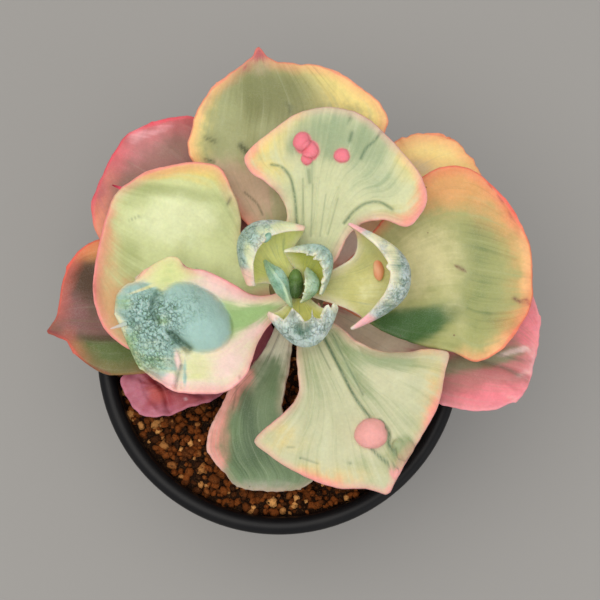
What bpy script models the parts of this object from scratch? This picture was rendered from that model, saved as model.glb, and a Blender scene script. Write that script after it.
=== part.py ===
"""A potted variegated echeveria: pot, soil, stem and 19 leaves, in metres with +Z up.

The pot stands on z = 0 with its axis on the origin. Leaf outlines were read off one view from above,
so they are given as they show on the rim's plane from EYE, and lifted() moves them up to their height.
"""

from math import cos, pi, radians, sin

import bmesh
import bpy
import numpy as np

MM = 0.001
GAP = 0.3  # between pieces that touch, mm

# Pot, mm
POT_HEIGHT = 74.0
RIM_RADIUS = 44.8
LIP_HEIGHT = 9.0
WALL_TOP_RADIUS = 42.8
BASE_RADIUS = 31.0
WALL = 2.2
TURN_STEPS = 56  # around the pot and the soil
FLOOR = 2.4
DRAIN_HOLES = 8
DRAIN_RADIUS = 3.2
DRAIN_CIRCLE = 20.0

# Soil and stem, mm; heights are over the rim
SOIL_LEVEL = -5.0
SOIL_RELIEF = 0.55
STEM_FOOT = -24.0
STEM_KNOTS = ((4.0, 11.0, STEM_FOOT, 4.8), (4.0, 11.0, -5.0, 5.2), (4.2, 11.8, 2.0, 6.2),
              (4.3, 12.6, 7.5, 6.8), (4.5, 13.4, 12.5, 6.8), (4.6, 14.2, 16.5, 5.6),
              (4.6, 14.5, 19.0, 3.8), (4.6, 14.5, 20.5, 1.2))

# Where the outlines were seen from, mm
EYE = np.array([5.1, -17.2, 412.7])
VIEW_SHIFT = -0.5  # the view's zero line lies this far in front of the pot's axis

# One line per leaf. rows: left and right end of crosswise rows from base to tip, as seen on the
# rim's plane. rise: height of the midline over the rim, base to tip. cup: rise of the margins over
# the midline, as a share of the half width. tilt: rise of the right margin over the left, same
# share. wave: height, count and phase of the margin's waves. bow: how far the rows' middles bulge
# towards the tip, mm. thick: base, middle and margin.
BLADES = {
    "leaf_front_left_crimson": dict(
        rows=((-1, 5, -3, 9), (-9, -7, -11, -2), (-15, -11, -18, -0.5), (-21, -13, -25, 0),
              (-27.5, -15.3, -32, -1), (-32, -15.3, -37, -4), (-35, -13.9, -38.3, -8),
              (-37, -11.8, -37.8, -10.5)),
        rise=(-1.5, 0.3, 0.8, 0.8), cup=(0.1, 0.1, 0.25), tilt=(0, 0, 0), wave=(0.7, 3.5, 0.4),
        thick=(2.2, 1.5, 0.9), colour=(0.45, 0.05, 0.06)),
    "leaf_front_green": dict(
        rows=((7, 13, 1.5, 12), (5, 8, -0.8, 6.6), (3.4, 3, -4, 0), (2, -4, -7.5, -5),
              (0.8, -9.5, -12, -9.5), (0.6, -14.5, -14.5, -14), (3.5, -20, -17, -20),
              (7.5, -25.5, -16.8, -25), (9, -30, -13.2, -29.3), (6, -32.7, -10.8, -32.3),
              (1, -34, -5.5, -33.8)),
        rise=(3.5, 4.5, 6, 5.5, 4), cup=(0.2, 0.3, 0.15), tilt=(0, 0, 0), wave=(0.6, 2.5, 1.0),
        thick=(3.0, 2.8, 1.1), colour=(0.10, 0.17, 0.07)),
    "leaf_left_rust": dict(
        rows=((4, 10.5, 4, 16), (-3, 9, -3, 15), (-12, 3, -12, 19), (-24, -3, -24, 24),
              (-35, -5.2, -35, 27), (-43, -5.1, -43.5, 28.2), (-48, -2, -49.3, 25.2),
              (-51, 1.2, -53, 18.5), (-53.5, 3.7, -55, 8.5), (-56.8, 4.7, -57, 5.3)),
        rise=(2.8, 3.2, 4.6, 6.4, 7.0), cup=(0.1, 0.07, 0.05), tilt=(0, 0, 0),
        wave=(0.5, 2.0, 0.0), thick=(3.0, 2.6, 1.1), colour=(0.34, 0.20, 0.11)),
    "leaf_back_left_mauve": dict(
        rows=((3, 11.5, 6.5, 16), (-2.5, 16.5, 1.6, 21.5), (-13, 20, -4, 31), (-25, 21, -10, 43),
              (-36, 22.5, -15, 53), (-43.5, 27, -21, 58.5), (-46.3, 34.5, -29, 57.8),
              (-45.2, 40.5, -34.5, 55.7), (-43, 46, -38.2, 54), (-41, 50, -40, 51.5)),
        rise=(6.2, 7.4, 8.8, 10.4, 11.4), cup=(0.05, 0.02, 0.05), tilt=(0, 0, 0),
        wave=(0.6, 3.0, 2.0), thick=(3.0, 2.6, 1.1), colour=(0.50, 0.21, 0.20)),
    "leaf_back_right_amber": dict(
        rows=((2.5, 16, 6.5, 12), (8, 22.5, 12, 18.5), (14, 33, 20, 23.5), (20, 43, 29, 28),
              (27, 51, 38, 33), (33, 54.2, 45, 39), (39, 54.3, 49, 42), (44, 52.4, 50, 44.5),
              (47.2, 49, 48.6, 47)),
        rise=(5.0, 6.5, 8.0, 9.0, 9.0), cup=(0.06, 0.1, 0.06), tilt=(0, 0, 0),
        wave=(0.7, 3.0, 0.8), thick=(3.0, 2.6, 1.1), colour=(0.80, 0.52, 0.20)),
    "leaf_right_rose": dict(
        rows=((4, 15.5, 4, 10), (11, 14.5, 10.5, 8.5), (23, 14, 20, 1), (34, 15, 28, -6),
              (45, 17, 35, -10.5), (55, 18, 42.5, -13.3), (61, 16, 50, -14.2),
              (63.6, 9.5, 57, -12), (63.6, 2.5, 60.8, -8.5), (62.8, -1.5, 62, -4.5)),
        rise=(2.5, 4.0, 6.0, 7.5, 8.5), cup=(0.1, 0.12, 0.1), tilt=(0, 0, 0),
        wave=(0.5, 2.5, 1.5), thick=(3.0, 2.6, 1.1), colour=(0.66, 0.24, 0.22)),
    "leaf_right_olive": dict(
        rows=((4, 17.5, 4, 11), (12, 19, 12, 12), (19, 25, 20, 9), (26, 33, 28, 5.5),
              (33, 41.5, 36, 2.8), (40, 45.8, 43, 1), (46.5, 45.8, 47.5, -2.1),
              (53, 41, 53, -0.2), (58.5, 33, 57.5, 5), (62, 25.5, 60.8, 9.3), (62.3, 18, 62, 12.5),
              (62.4, 14.5, 62.3, 13.5)),
        rise=(9.6, 11.2, 13.4, 16.0, 18.0), cup=(0.15, 0.16, 0.06), tilt=(0, 0, 0),
        wave=(0.6, 3.0, 0.6), thick=(3.1, 2.8, 1.1), colour=(0.48, 0.43, 0.16)),
    "leaf_back_pointed": dict(
        rows=((1.5, 14.5, 7.5, 14.5), (-0.5, 22.5, 6, 24), (-7, 31, 6.5, 35), (-16, 41, 16, 45),
              (-22.5, 50, 25, 52), (-21.5, 57, 26.7, 59), (-18.2, 64, 19.5, 66.5),
              (-12.5, 69.3, 9.5, 71.3), (-7.8, 73, -1, 73.5), (-5.5, 76, -4.9, 76)),
        rise=(9.8, 11.6, 13.6, 16.4, 18.4), cup=(0.12, 0.14, 0.05), tilt=(0, 0, 0),
        wave=(0.5, 3.0, 2.2), thick=(3.1, 2.8, 1.1), colour=(0.42, 0.47, 0.22)),
    "leaf_left_cupped": dict(
        rows=((5, 12, 5, 18), (-3, 14, -2, 20), (-9, 11.5, -8.8, 27), (-17, 7, -9.8, 34),
              (-26, 2.5, -11.5, 41), (-35, 0.5, -14.2, 46.3), (-41.5, 4.5, -21, 47),
              (-44.8, 12, -29, 45.5), (-45, 20, -34.5, 43.6), (-43.5, 30, -38, 41.3),
              (-41.5, 37.5, -40.1, 40), (-41, 40, -40.5, 40.5)),
        rise=(12.8, 13.2, 14.2, 16.5, 20.5), cup=(0.12, 0.28, 0.10), tilt=(0, 0.05, 0),
        wave=(0.5, 2.0, 0.5), thick=(3.1, 2.8, 1.1), colour=(0.60, 0.63, 0.33)),
    "leaf_left_caruncled": dict(
        rows=((5, 11, 5, 17), (-1.5, 8, -2, 14.3), (-4.5, 3.3, -6.5, 14.2), (-6.5, -1.5, -12, 16.8),
              (-8.8, -6, -18, 20.1), (-12.5, -9.3, -22.3, 20.9), (-19, -9.8, -26, 23.4),
              (-26, -9.3, -31, 21.8), (-31, -6, -35.5, 17.5), (-35, -2.3, -38, 14.5),
              (-37.2, 3.3, -39, 10.5), (-39.2, 6.5, -39.5, 8)),
        rise=(17.3, 19.2, 22.4, 25.4, 26.0), cup=(0.15, 0.20, 0.05), tilt=(0, 0, 0),
        wave=(0.8, 3.0, 0.2), thick=(3.1, 2.8, 1.1), colour=(0.62, 0.66, 0.38),
        lumps=((-19.5, 7.5, 0.2, 8.2, 7.8, 4.6, 0), (-25.8, 9.4, 0.2, 7.4, 6.8, 4.6, 0),
               (-30, 4.4, 0.0, 8.0, 6.4, 4.2, 60), (-30.4, -1.0, 0.0, 7.0, 4.8, 3.4, 70),
               (-34.4, 11.4, 0.2, 6.2, 5.4, 4.0, -35), (-36.8, 13.2, 0.5, 3.9, 3.7, 3.6, 0),
               (-26, -3, 0.0, 4.6, 3.0, 2.6, 60))),
    "leaf_front_fan": dict(
        rows=((8, 15.5, 2, 13.5), (11, 9, 4.2, 6), (15.5, 6, 4.5, 0.5), (18.5, 2.8, 5, -4.5),
              (23.5, 0.6, 4.8, -9.5), (31, 0.2, 1.2, -14.8), (38, 0.9, -4.6, -19.5),
              (41.5, 0.3, -6.3, -21.6), (40.8, -5, -2.5, -25.2), (38.8, -13.5, 6, -30.2),
              (35.5, -21, 14, -33), (31, -28.5, 21.5, -33.3), (27.3, -34.1, 26.2, -34.5)),
        rise=(13.6, 15.2, 18.2, 20.4, 20.2), cup=(0.3, 0.18, -0.06), tilt=(0, 0, 0),
        wave=(0.9, 2.5, 0.3),
        bow=(0, 0.5, 3, 5, 1.5, 0), thick=(3.1, 2.8, 1.1), colour=(0.58, 0.58, 0.35),
        lumps=((22.3, -19.8, 1.6, 3.7, 3.7, 2.9, 0), (30.6, -24.4, 0.7, 2.9, 2.6, 2.0, 0))),
    "leaf_back_fan": dict(
        rows=((1.6, 17.2, 7.4, 15.4), (2.6, 22, 9.6, 19), (1.5, 29, 14, 23.5), (2.2, 33.5, 16.5, 28),
              (0.3, 38.3, 20.3, 32.0), (-3.3, 42.3, 25.6, 33), (-7.6, 45.2, 32, 31.2),
              (-8.8, 48.5, 35.8, 35), (-1.6, 55.5, 35.8, 42.5), (5.5, 60, 30.7, 49.7),
              (12.5, 61.2, 26.3, 54.4), (18.5, 60.2, 22.8, 57.8)),
        rise=(15.5, 17.5, 21.0, 24.5, 26.0), cup=(0.26, 0.16, -0.05), tilt=(0, 0, 0),
        wave=(0.9, 2.5, 2.6),
        bow=(0, 0.5, 4, 7, 1.5, 0), thick=(3.1, 2.8, 1.1), colour=(0.56, 0.58, 0.34),
        lumps=((7.0, 51.3, 1.0, 2.5, 2.0, 2.2, 60), (7.8, 48.8, 0.9, 1.9, 1.6, 1.8, 0),
               (15.4, 48.6, 0.8, 1.8, 1.7, 1.5, 0))),
}

# Hooded leaves curl over the middle, so the outer face is the one seen. rows: left end, middle and
# right end of crosswise rows from base to rolled margin, each as seen, with its height over the rim.
HOODS = {
    "leaf_right_hooded": dict(
        rows=((8, 18, 17.3, 7, 15.5, 16.8, 8, 13.4, 17.3), (13.7, 20.9, 19, 14, 16.3, 17.4, 14.8, 11.2, 19),
              (18.3, 24.2, 21, 22.5, 17, 17.5, 19, 9.2, 21), (19.2, 28.2, 23.5, 29.5, 18, 21, 20.3, 7.8, 23.5),
              (18.4, 31, 26, 32.4, 18.8, 27, 19.2, 6.0, 26), (17.2, 32.2, 27.5, 31.6, 19.2, 31, 17.8, 5.4, 27.5),
              (17.0, 32.0, 28.0, 27.6, 19.6, 33.4, 17.6, 5.6, 28.0)),
        ruffle=(0.25, 5), thick=(2.2, 1.7, 0.9), colour=(0.50, 0.58, 0.48),
        lumps=()),
    "leaf_back_left_hooded": dict(
        rows=((2, 15, 18.0, 2, 18.5, 17.5, 4.5, 18.5, 18.0), (-3.2, 16.8, 20, -4, 22.5, 19.5, 3.6, 25.3, 20),
              (-6.4, 16.4, 22.5, -7.8, 27.6, 22.5, 5.8, 29.4, 22.5),
              (-7.9, 16.3, 24.5, -8.6, 30.6, 26.5, 6.5, 31.1, 24.5),
              (-7.2, 16.1, 26, -7.0, 29.2, 30, 6.5, 31.0, 26), (-5.9, 16.2, 26.5, -4.4, 26.8, 31, 6.3, 30.2, 26.4)),
        ruffle=(0.3, 5), thick=(2.2, 1.6, 0.8), colour=(0.44, 0.55, 0.47),
        lumps=((-2.8, 27.8, 0.0, 1.5, 1.1, 1.2, 45),)),
    "leaf_back_right_frilled": dict(
        rows=((5.5, 18.5, 19.5, 6.5, 16.5, 19.5, 6.5, 14.5, 19.5), (2.4, 22.6, 22, 9.6, 20.8, 21, 9.9, 13.9, 22),
              (1.3, 24.6, 24, 11.9, 24.2, 24, 10.5, 13.7, 24), (1.0, 25.3, 25.5, 12.2, 25.2, 27.5, 10.4, 13.9, 25.5),
              (1.2, 25.2, 26.3, 9.9, 22.5, 29.8, 10.2, 14.1, 26.2)),
        ruffle=(0.45, 7), thick=(1.9, 1.5, 0.8), colour=(0.40, 0.50, 0.40), lumps=()),
    "leaf_front_frilled": dict(
        rows=((7.6, 13.4, 19, 5.2, 12.4, 18.2, 2.8, 13.4, 19), (10.9, 11.0, 21.4, 6.0, 8.6, 19.8, 0.2, 10.6, 21.2),
              (13.8, 10.8, 23.2, 6.6, 3.6, 22.5, -2.4, 9.4, 23), (14.6, 10.9, 25.5, 7.0, 1.3, 26.5, -3.1, 9.3, 24.8),
              (14.6, 11.4, 26.6, 6.8, 4.2, 30.0, -3.1, 9.6, 25.8),
              (14.3, 11.9, 27.2, 6.4, 8.4, 31.4, -2.9, 10.0, 26.2)),
        ruffle=(0.7, 7), thick=(2.2, 1.6, 0.8), colour=(0.42, 0.52, 0.46), lumps=()),
    "leaf_heart_right": dict(
        rows=((6.6, 18.6, 22.6, 7.4, 16.5, 22.4, 6.4, 14.4, 22.6), (6.9, 20.4, 23.6, 9.2, 16.6, 23.4, 6.4, 12.9, 23.6),
              (6.8, 21.2, 24.6, 9.9, 16.3, 25.4, 5.4, 12.0, 24.6), (6.3, 20.6, 25.4, 7.9, 16.0, 27.6, 5.2, 12.2, 25.4),
              (5.9, 19.8, 25.6, 6.3, 15.9, 28.0, 5.3, 12.5, 25.6)),
        ruffle=(0.25, 3), thick=(0.9, 0.9, 0.7), colour=(0.30, 0.45, 0.26), lumps=()),
}

# The folded leaf left of the bud: rows as in BLADES, with margins that hang from a ridge
FOLDED = {
    "leaf_heart_left": dict(
        rows=((-3.4, 23.1, -4.1, 22.6), (-1.6, 22.0, -3.7, 20.6), (0.6, 20.9, -3.0, 18.4),
              (2.2, 18.6, -2.0, 16.2), (3.0, 16.2, -0.9, 14.3), (3.4, 13.8, 0.7, 12.8),
              (3.5, 11.0, 2.7, 10.8)),
        rise=(23.6, 25.6, 26.4, 25.6, 23.2), cup=(0, -0.4, -0.5, -0.4, 0), tilt=(0, 0, 0),
        wave=(0, 1, 0), thick=(0.8, 1.0, 0.7), colour=(0.30, 0.48, 0.36)),
}

# Steps along and across each kind of leaf
BLADE_GRID = (15, 8)
HOOD_GRID = (9, 14)
FOLDED_GRID = (10, 6)

BUD = dict(centre=(4.6, 16.4), height=(21.4, 26.0), half=(1.25, 3.4), colour=(0.11, 0.17, 0.03))


def lifted(x, y, h):
    """The point at height h over the rim that shows at (x, y) on the rim's plane from EYE, in mm."""
    share = h / (EYE[2] - POT_HEIGHT)
    y = y + VIEW_SHIFT
    return np.stack([x + (EYE[0] - x) * share, y + (EYE[1] - y) * share, POT_HEIGHT + h], -1)


def smooth(knots, places):
    """Points of a smooth curve through knots, at places from 0 to 1 of the way along it.

    Cubic Hermite between knots, each slope taken from the two neighbours.
    """
    knots = np.asarray(knots, float)
    if knots.ndim == 1:
        along = np.linspace(0, 1, len(knots))
        knots = knots[:, None]
    else:
        along = np.concatenate([[0], np.cumsum(np.linalg.norm(np.diff(knots, axis=0), axis=1))])
        along /= along[-1]
    slopes = np.gradient(knots, along, axis=0)
    places = np.asarray(places, float)
    k = np.clip(np.searchsorted(along, places, "right") - 1, 0, len(along) - 2)
    span = (along[k + 1] - along[k])[:, None]
    f = ((places - along[k])[:, None]) / span
    return (knots[k] * (2 * f**3 - 3 * f**2 + 1) + knots[k + 1] * (3 * f**2 - 2 * f**3)
            + slopes[k] * span * (f**3 - 2 * f**2 + f) + slopes[k + 1] * span * (f**3 - f**2))


def thickness(spec, u, t):
    """Leaf thickness in mm: thick at the base, thinner along the blade, thinnest at the margin."""
    base, middle, margin = spec["thick"]
    core = middle + (base - middle) * (1 - u) ** 2
    return margin + (core - margin) * (1 - t**4) * (1 - u**8)


def blade(spec, along, across):
    """Seen face of an open leaf and its thickness on a grid of rows u (0 to 1) by columns t (-1 to 1).

    A row is the line between its ends, bowed towards the tip by bow times one minus t squared. Height
    is the midline's rise, plus cup times t squared, plus tilt times t, plus margin waves.
    """
    u, t = np.linspace(0, 1, along + 1), np.linspace(-1, 1, across + 1)[None, :]
    ends = smooth(spec["rows"], u)
    left, right = ends[:, None, :2], ends[:, None, 2:]
    half = np.linalg.norm(right - left, axis=-1) / 2
    plan = (left + right) / 2 + (right - left) / 2 * t[..., None]
    chord = right - left
    outward = np.stack([-chord[..., 1], chord[..., 0]], -1) / (2 * half[..., None])
    plan = plan + outward * smooth(spec.get("bow", (0, 0)), u)[..., None] * (1 - t[..., None] ** 2)
    height, count, phase = spec["wave"]
    wave = height * np.sin(2 * pi * count * u[:, None] + phase + 1.3 * (t > 0)) * t**4
    h = (smooth(spec["rise"], u) + smooth(spec["cup"], u) * half * t**2
         + smooth(spec["tilt"], u) * half * t + wave * np.sin(pi * u[:, None]))
    return lifted(plan[..., 0], plan[..., 1], h), thickness(spec, u[:, None], t)


def hood(spec, along, across):
    """Outer face of a hooded leaf and its thickness, on the same kind of grid as blade().

    Each row is an arc: middle, plus t times half the chord, plus |t| to the power 2.2 times the way
    from the middle to the chord's centre. The last rows are ruffled by a sine of t.
    """
    u, t = np.linspace(0, 1, along + 1), np.linspace(-1, 1, across + 1)[None, :, None]
    rows = smooth(spec["rows"], u)
    left, middle, right = (rows[:, None, 3 * k : 3 * k + 3] for k in range(3))
    seen = middle + t * (right - left) / 2 + abs(t) ** 2.2 * ((left + right) / 2 - middle)
    height, count = spec["ruffle"]
    ruffle = height * np.sin(pi * count * t[..., 0]) * u[:, None] ** 6 * (1 - t[..., 0] ** 4)
    points = lifted(seen[..., 0], seen[..., 1], seen[..., 2] + ruffle)
    return points, thickness(spec, u[:, None], t[..., 0])


def material(name, colour, roughness):
    made = bpy.data.materials.new(name)
    made.use_nodes = True
    shader = made.node_tree.nodes["Principled BSDF"]
    shader.inputs["Base Color"].default_value = (*colour, 1)
    shader.inputs["Roughness"].default_value = roughness
    shader.inputs["Metallic"].default_value = 0
    made.diffuse_color = (*colour, 1)
    return made


def add(mesh, collection, colour=None, roughness=0.5):
    obj = bpy.data.objects.new(mesh.name, mesh)
    collection.objects.link(obj)
    if colour:
        mesh.materials.append(material(mesh.name, colour, roughness))
    return obj


def sheet(name, points, flip, collection, colour):
    """An open surface of triangles over a grid of points."""
    rows, columns = points.shape[:2]
    index = np.arange(rows * columns).reshape(rows, columns)
    a, b, c, d = index[:-1, :-1], index[:-1, 1:], index[1:, 1:], index[1:, :-1]
    faces = np.concatenate([np.stack([a, b, c], -1).reshape(-1, 3), np.stack([a, c, d], -1).reshape(-1, 3)])
    if flip:
        faces = faces[:, ::-1]
    mesh = bpy.data.meshes.new(name)
    mesh.from_pydata((points.reshape(-1, 3) * MM).tolist(), [], faces.tolist())
    return add(mesh, collection, colour, 0.55)


def solidified(obj, thick):
    """Thickens a sheet away from its seen face, each point by its own thickness."""
    group = obj.vertex_groups.new(name="body")
    thick = thick.reshape(-1)
    for k, share in enumerate(thick / thick.max()):
        group.add([k], float(share), "REPLACE")
    solid = obj.modifiers.new("body", "SOLIDIFY")
    solid.thickness = float(thick.max()) * MM
    solid.offset = -1
    solid.vertex_group = "body"
    solid.use_quality_normals = True


def boolean(obj, operation, other):
    cut = obj.modifiers.new(operation.lower(), "BOOLEAN")
    cut.operation = operation
    cut.solver = "EXACT"
    if isinstance(other, bpy.types.Collection):
        cut.operand_type = "COLLECTION"
        cut.collection = other
    else:
        cut.object = other


def applied(obj):
    """Replaces the object's mesh by what its modifiers make of it."""
    bpy.context.view_layer.update()
    made = bpy.data.meshes.new_from_object(obj.evaluated_get(bpy.context.evaluated_depsgraph_get()))
    obj.modifiers.clear()
    obj.data = made
    made.name = obj.name


def with_lumps(obj, spec, points, scene):
    """Fuses warts into a leaf: ellipsoids seated on the seen face."""
    if not spec.get("lumps"):
        return
    warts = bpy.data.collections.new("warts")
    scene.collection.children.link(warts)
    flat = points.reshape(-1, 3)
    for x, y, sink, along, across, up, turn in spec["lumps"]:
        k = np.linalg.norm(lifted(x, y, flat[:, 2] - POT_HEIGHT)[:, :2] - flat[:, :2], axis=1).argmin()
        mesh = bpy.data.meshes.new("wart")
        form = bmesh.new()
        bmesh.ops.create_uvsphere(form, u_segments=10, v_segments=6, radius=1)
        bmesh.ops.triangulate(form, faces=form.faces[:])
        form.to_mesh(mesh)
        form.free()
        wart = add(mesh, warts)
        centre = lifted(x, y, flat[k, 2] - POT_HEIGHT) + [0, 0, sink]
        wart.location = centre * MM
        wart.rotation_euler = (0, 0, radians(turn))
        wart.scale = (along * MM, across * MM, up * MM)
    boolean(obj, "UNION", warts)
    applied(obj)
    for wart in list(warts.objects):
        bpy.data.objects.remove(wart)
    bpy.data.collections.remove(warts)


def screw(name, profile, steps, collection, colour=None, roughness=0.5):
    """A body turned from a profile of (radius, height) in mm, listed from the top down."""
    mesh = bpy.data.meshes.new(name)
    count = len(profile)
    mesh.from_pydata([(r * MM, 0, z * MM) for r, z in profile], [(k, k + 1) for k in range(count - 1)], [])
    obj = add(mesh, collection, colour, roughness)
    turn = obj.modifiers.new("turn", "SCREW")
    turn.steps = turn.render_steps = steps
    turn.use_merge_vertices = True
    turn.merge_threshold = 0.00001
    turn.use_smooth_shade = False
    return obj


def arc(centre, radius, start, end, count):
    """Points of a circular arc, angles in degrees."""
    return [(centre[0] + radius * cos(radians(a)), centre[1] + radius * sin(radians(a)))
            for a in np.linspace(start, end, count)]


def wall_radius(z):
    """Outer radius of the tapered wall at height z, mm."""
    return BASE_RADIUS + (WALL_TOP_RADIUS - BASE_RADIUS) * z / (POT_HEIGHT - LIP_HEIGHT)


def build_pot(parts, cutters):
    roll = (RIM_RADIUS - wall_radius(POT_HEIGHT - LIP_HEIGHT) + WALL) / 2
    lip_bottom = POT_HEIGHT - LIP_HEIGHT
    outer = arc((RIM_RADIUS - roll, POT_HEIGHT - roll), roll, 90, 0, 4)
    outer += [(RIM_RADIUS - 0.3, lip_bottom + 0.4), (RIM_RADIUS - 0.8, lip_bottom),
              (WALL_TOP_RADIUS + 0.2, lip_bottom), (WALL_TOP_RADIUS - 0.2, lip_bottom - 0.8)]
    outer += [(wall_radius(z), z) for z in (40.0, 2.0)] + [(BASE_RADIUS - 0.8, 0.0), (0.0, 0.0)]
    inner = [(0.0, FLOOR), (BASE_RADIUS - WALL - 1.5, FLOOR), (wall_radius(5.0) - WALL, 5.0),
             (wall_radius(40.0) - WALL, 40.0), (wall_radius(lip_bottom) - WALL, lip_bottom)]
    inner += arc((RIM_RADIUS - roll, POT_HEIGHT - roll), roll, 180, 90, 4)
    pot = screw("pot", outer + inner[:-1] + outer[:1], TURN_STEPS, parts, (0.014, 0.014, 0.017), 0.45)
    applied(pot)
    weld(pot)
    for k in range(DRAIN_HOLES):
        angle = 2 * pi * (k + 0.5) / DRAIN_HOLES
        drill = cylinder("drain_%d" % k, DRAIN_RADIUS, 4 * FLOOR, 16, cutters)
        drill.location = (DRAIN_CIRCLE * cos(angle) * MM, DRAIN_CIRCLE * sin(angle) * MM, 0)
        boolean(pot, "DIFFERENCE", drill)
    return pot


def weld(obj):
    form = bmesh.new()
    form.from_mesh(obj.data)
    bmesh.ops.remove_doubles(form, verts=form.verts[:], dist=0.00001)
    bmesh.ops.recalc_face_normals(form, faces=form.faces[:])
    form.to_mesh(obj.data)
    form.free()


def cylinder(name, radius, height, segments, collection):
    mesh = bpy.data.meshes.new(name)
    form = bmesh.new()
    bmesh.ops.create_cone(form, cap_ends=True, segments=segments, radius1=radius * MM, radius2=radius * MM,
                          depth=height * MM)
    form.to_mesh(mesh)
    form.free()
    return add(mesh, collection)


def stem_shape(name, grown, collection, colour=None):
    """The leaning stem as a bevelled curve, its radius grown by some mm."""
    curve = bpy.data.curves.new(name + "_path", "CURVE")
    curve.dimensions = "3D"
    curve.bevel_depth = MM
    curve.bevel_resolution = 4
    curve.use_fill_caps = True
    line = curve.splines.new("POLY")
    line.points.add(len(STEM_KNOTS) - 1)
    for point, (x, y, h, radius) in zip(line.points, STEM_KNOTS):
        end = grown * (h == STEM_KNOTS[-1][2]) - grown * (h == STEM_FOOT)
        point.co = (x * MM, y * MM, (POT_HEIGHT + h + end) * MM, 1)
        point.radius = radius + grown
    holder = bpy.data.objects.new(name + "_path", curve)
    collection.objects.link(holder)
    bpy.context.view_layer.update()
    graph = bpy.context.evaluated_depsgraph_get()
    mesh = bpy.data.meshes.new_from_object(holder.evaluated_get(graph))
    mesh.name = name
    bpy.data.objects.remove(holder)
    stem = add(mesh, collection, colour, 0.6)
    weld(stem)
    return stem


def build_soil(parts, stem_cutter):
    """Filled body inside the pot with a granular top, its relief a sum of sines."""
    top = POT_HEIGHT + SOIL_LEVEL
    inside = WALL + GAP
    profile = [(r, top) for r in np.linspace(0, wall_radius(POT_HEIGHT - LIP_HEIGHT) - inside - 0.4, 12)]
    profile += [(wall_radius(40.0) - inside, 40.0), (wall_radius(5.0) - inside, 5.0),
                (BASE_RADIUS - inside - 2.0, FLOOR + GAP), (0.0, FLOOR + GAP)]
    soil = screw("soil", profile, TURN_STEPS, parts, (0.16, 0.055, 0.02), 0.9)
    applied(soil)
    weld(soil)
    for vertex in soil.data.vertices:
        x, y, z = (value / MM for value in vertex.co)
        if z > top - 1:
            bumps = sin(1.9 * x + 0.7 * y) * cos(1.7 * y - 0.4 * x) + 0.6 * sin(0.31 * x - 0.24 * y + 1)
            vertex.co.z += SOIL_RELIEF * bumps * MM
    boolean(soil, "DIFFERENCE", stem_cutter)
    applied(soil)
    return soil


def build_bud(parts, scene):
    """Two small closed leaves in the very middle, fused."""
    x, y = BUD["centre"]
    low, high = BUD["height"]
    mesh = bpy.data.meshes.new("heart_bud")
    form = bmesh.new()
    bmesh.ops.create_uvsphere(form, u_segments=16, v_segments=10, radius=1)
    bmesh.ops.triangulate(form, faces=form.faces[:])
    for vertex in form.verts:
        px, py, pz = vertex.co
        furrow = 1 - 0.16 * np.exp(-((py - 0.35) / 0.22) ** 2) * (pz > -0.2)
        h = (low + high) / 2 + pz * furrow * (high - low) / 2
        vertex.co = lifted(x + px * BUD["half"][0], y + py * BUD["half"][1], h) * MM
    form.to_mesh(mesh)
    form.free()
    return add(mesh, parts, BUD["colour"], 0.5)


def main():
    for obj in list(bpy.data.objects):
        bpy.data.objects.remove(obj)
    scene = bpy.context.scene
    parts = bpy.data.collections.new("potted_echeveria")
    cutters = bpy.data.collections.new("cutters")
    scene.collection.children.link(parts)
    scene.collection.children.link(cutters)

    build_pot(parts, cutters)
    stem_shape("stem", 0, parts, (0.30, 0.26, 0.14))
    clearance = stem_shape("stem_clearance", GAP, cutters)
    build_soil(parts, clearance)
    for name, spec in {**BLADES, **FOLDED}.items():
        grid = BLADE_GRID if name in BLADES else FOLDED_GRID
        points, thick = blade(spec, *grid)
        leaf = sheet(name, points, False, parts, spec["colour"])
        solidified(leaf, thick)
        with_lumps(leaf, spec, points, scene)
        boolean(leaf, "DIFFERENCE", clearance)
    for name, spec in HOODS.items():
        points, thick = hood(spec, *HOOD_GRID)
        leaf = sheet(name, points, True, parts, spec["colour"])
        solidified(leaf, thick)
        with_lumps(leaf, spec, points, scene)
        boolean(leaf, "DIFFERENCE", clearance)
    build_bud(parts, scene)

    for cutter in cutters.objects:
        cutter.hide_render = True
        cutter.display_type = "WIRE"


main()
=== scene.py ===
"""Looks of a potted variegated echeveria: 18 leaves and a bud on a leaning stem, the soil and the pot.

Lengths are in mm until they go into a mesh. Leaf outlines are given as they show on the plane of the
pot's rim from EYE, and lifted() moves them up to their height along the line of sight. Marks on the
leaves are placed in pixels of the same view, 600 across, which on_rim_plane() turns into mm.
"""

from math import cos, pi, radians, sin

import bmesh
import bpy
import numpy as np
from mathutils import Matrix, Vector


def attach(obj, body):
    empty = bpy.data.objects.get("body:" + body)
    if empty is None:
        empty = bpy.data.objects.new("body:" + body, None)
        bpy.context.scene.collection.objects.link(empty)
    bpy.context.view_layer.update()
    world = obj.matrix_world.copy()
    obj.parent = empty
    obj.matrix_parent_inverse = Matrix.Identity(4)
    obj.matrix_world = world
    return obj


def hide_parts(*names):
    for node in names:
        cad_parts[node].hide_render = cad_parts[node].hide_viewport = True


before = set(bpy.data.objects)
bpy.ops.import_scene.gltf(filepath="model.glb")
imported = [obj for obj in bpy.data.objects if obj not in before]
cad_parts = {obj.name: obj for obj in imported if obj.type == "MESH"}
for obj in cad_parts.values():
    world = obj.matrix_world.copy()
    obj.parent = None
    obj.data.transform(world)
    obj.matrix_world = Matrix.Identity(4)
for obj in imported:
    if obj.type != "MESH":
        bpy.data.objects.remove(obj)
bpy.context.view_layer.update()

MM = 0.001
GAP = 0.3

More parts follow.
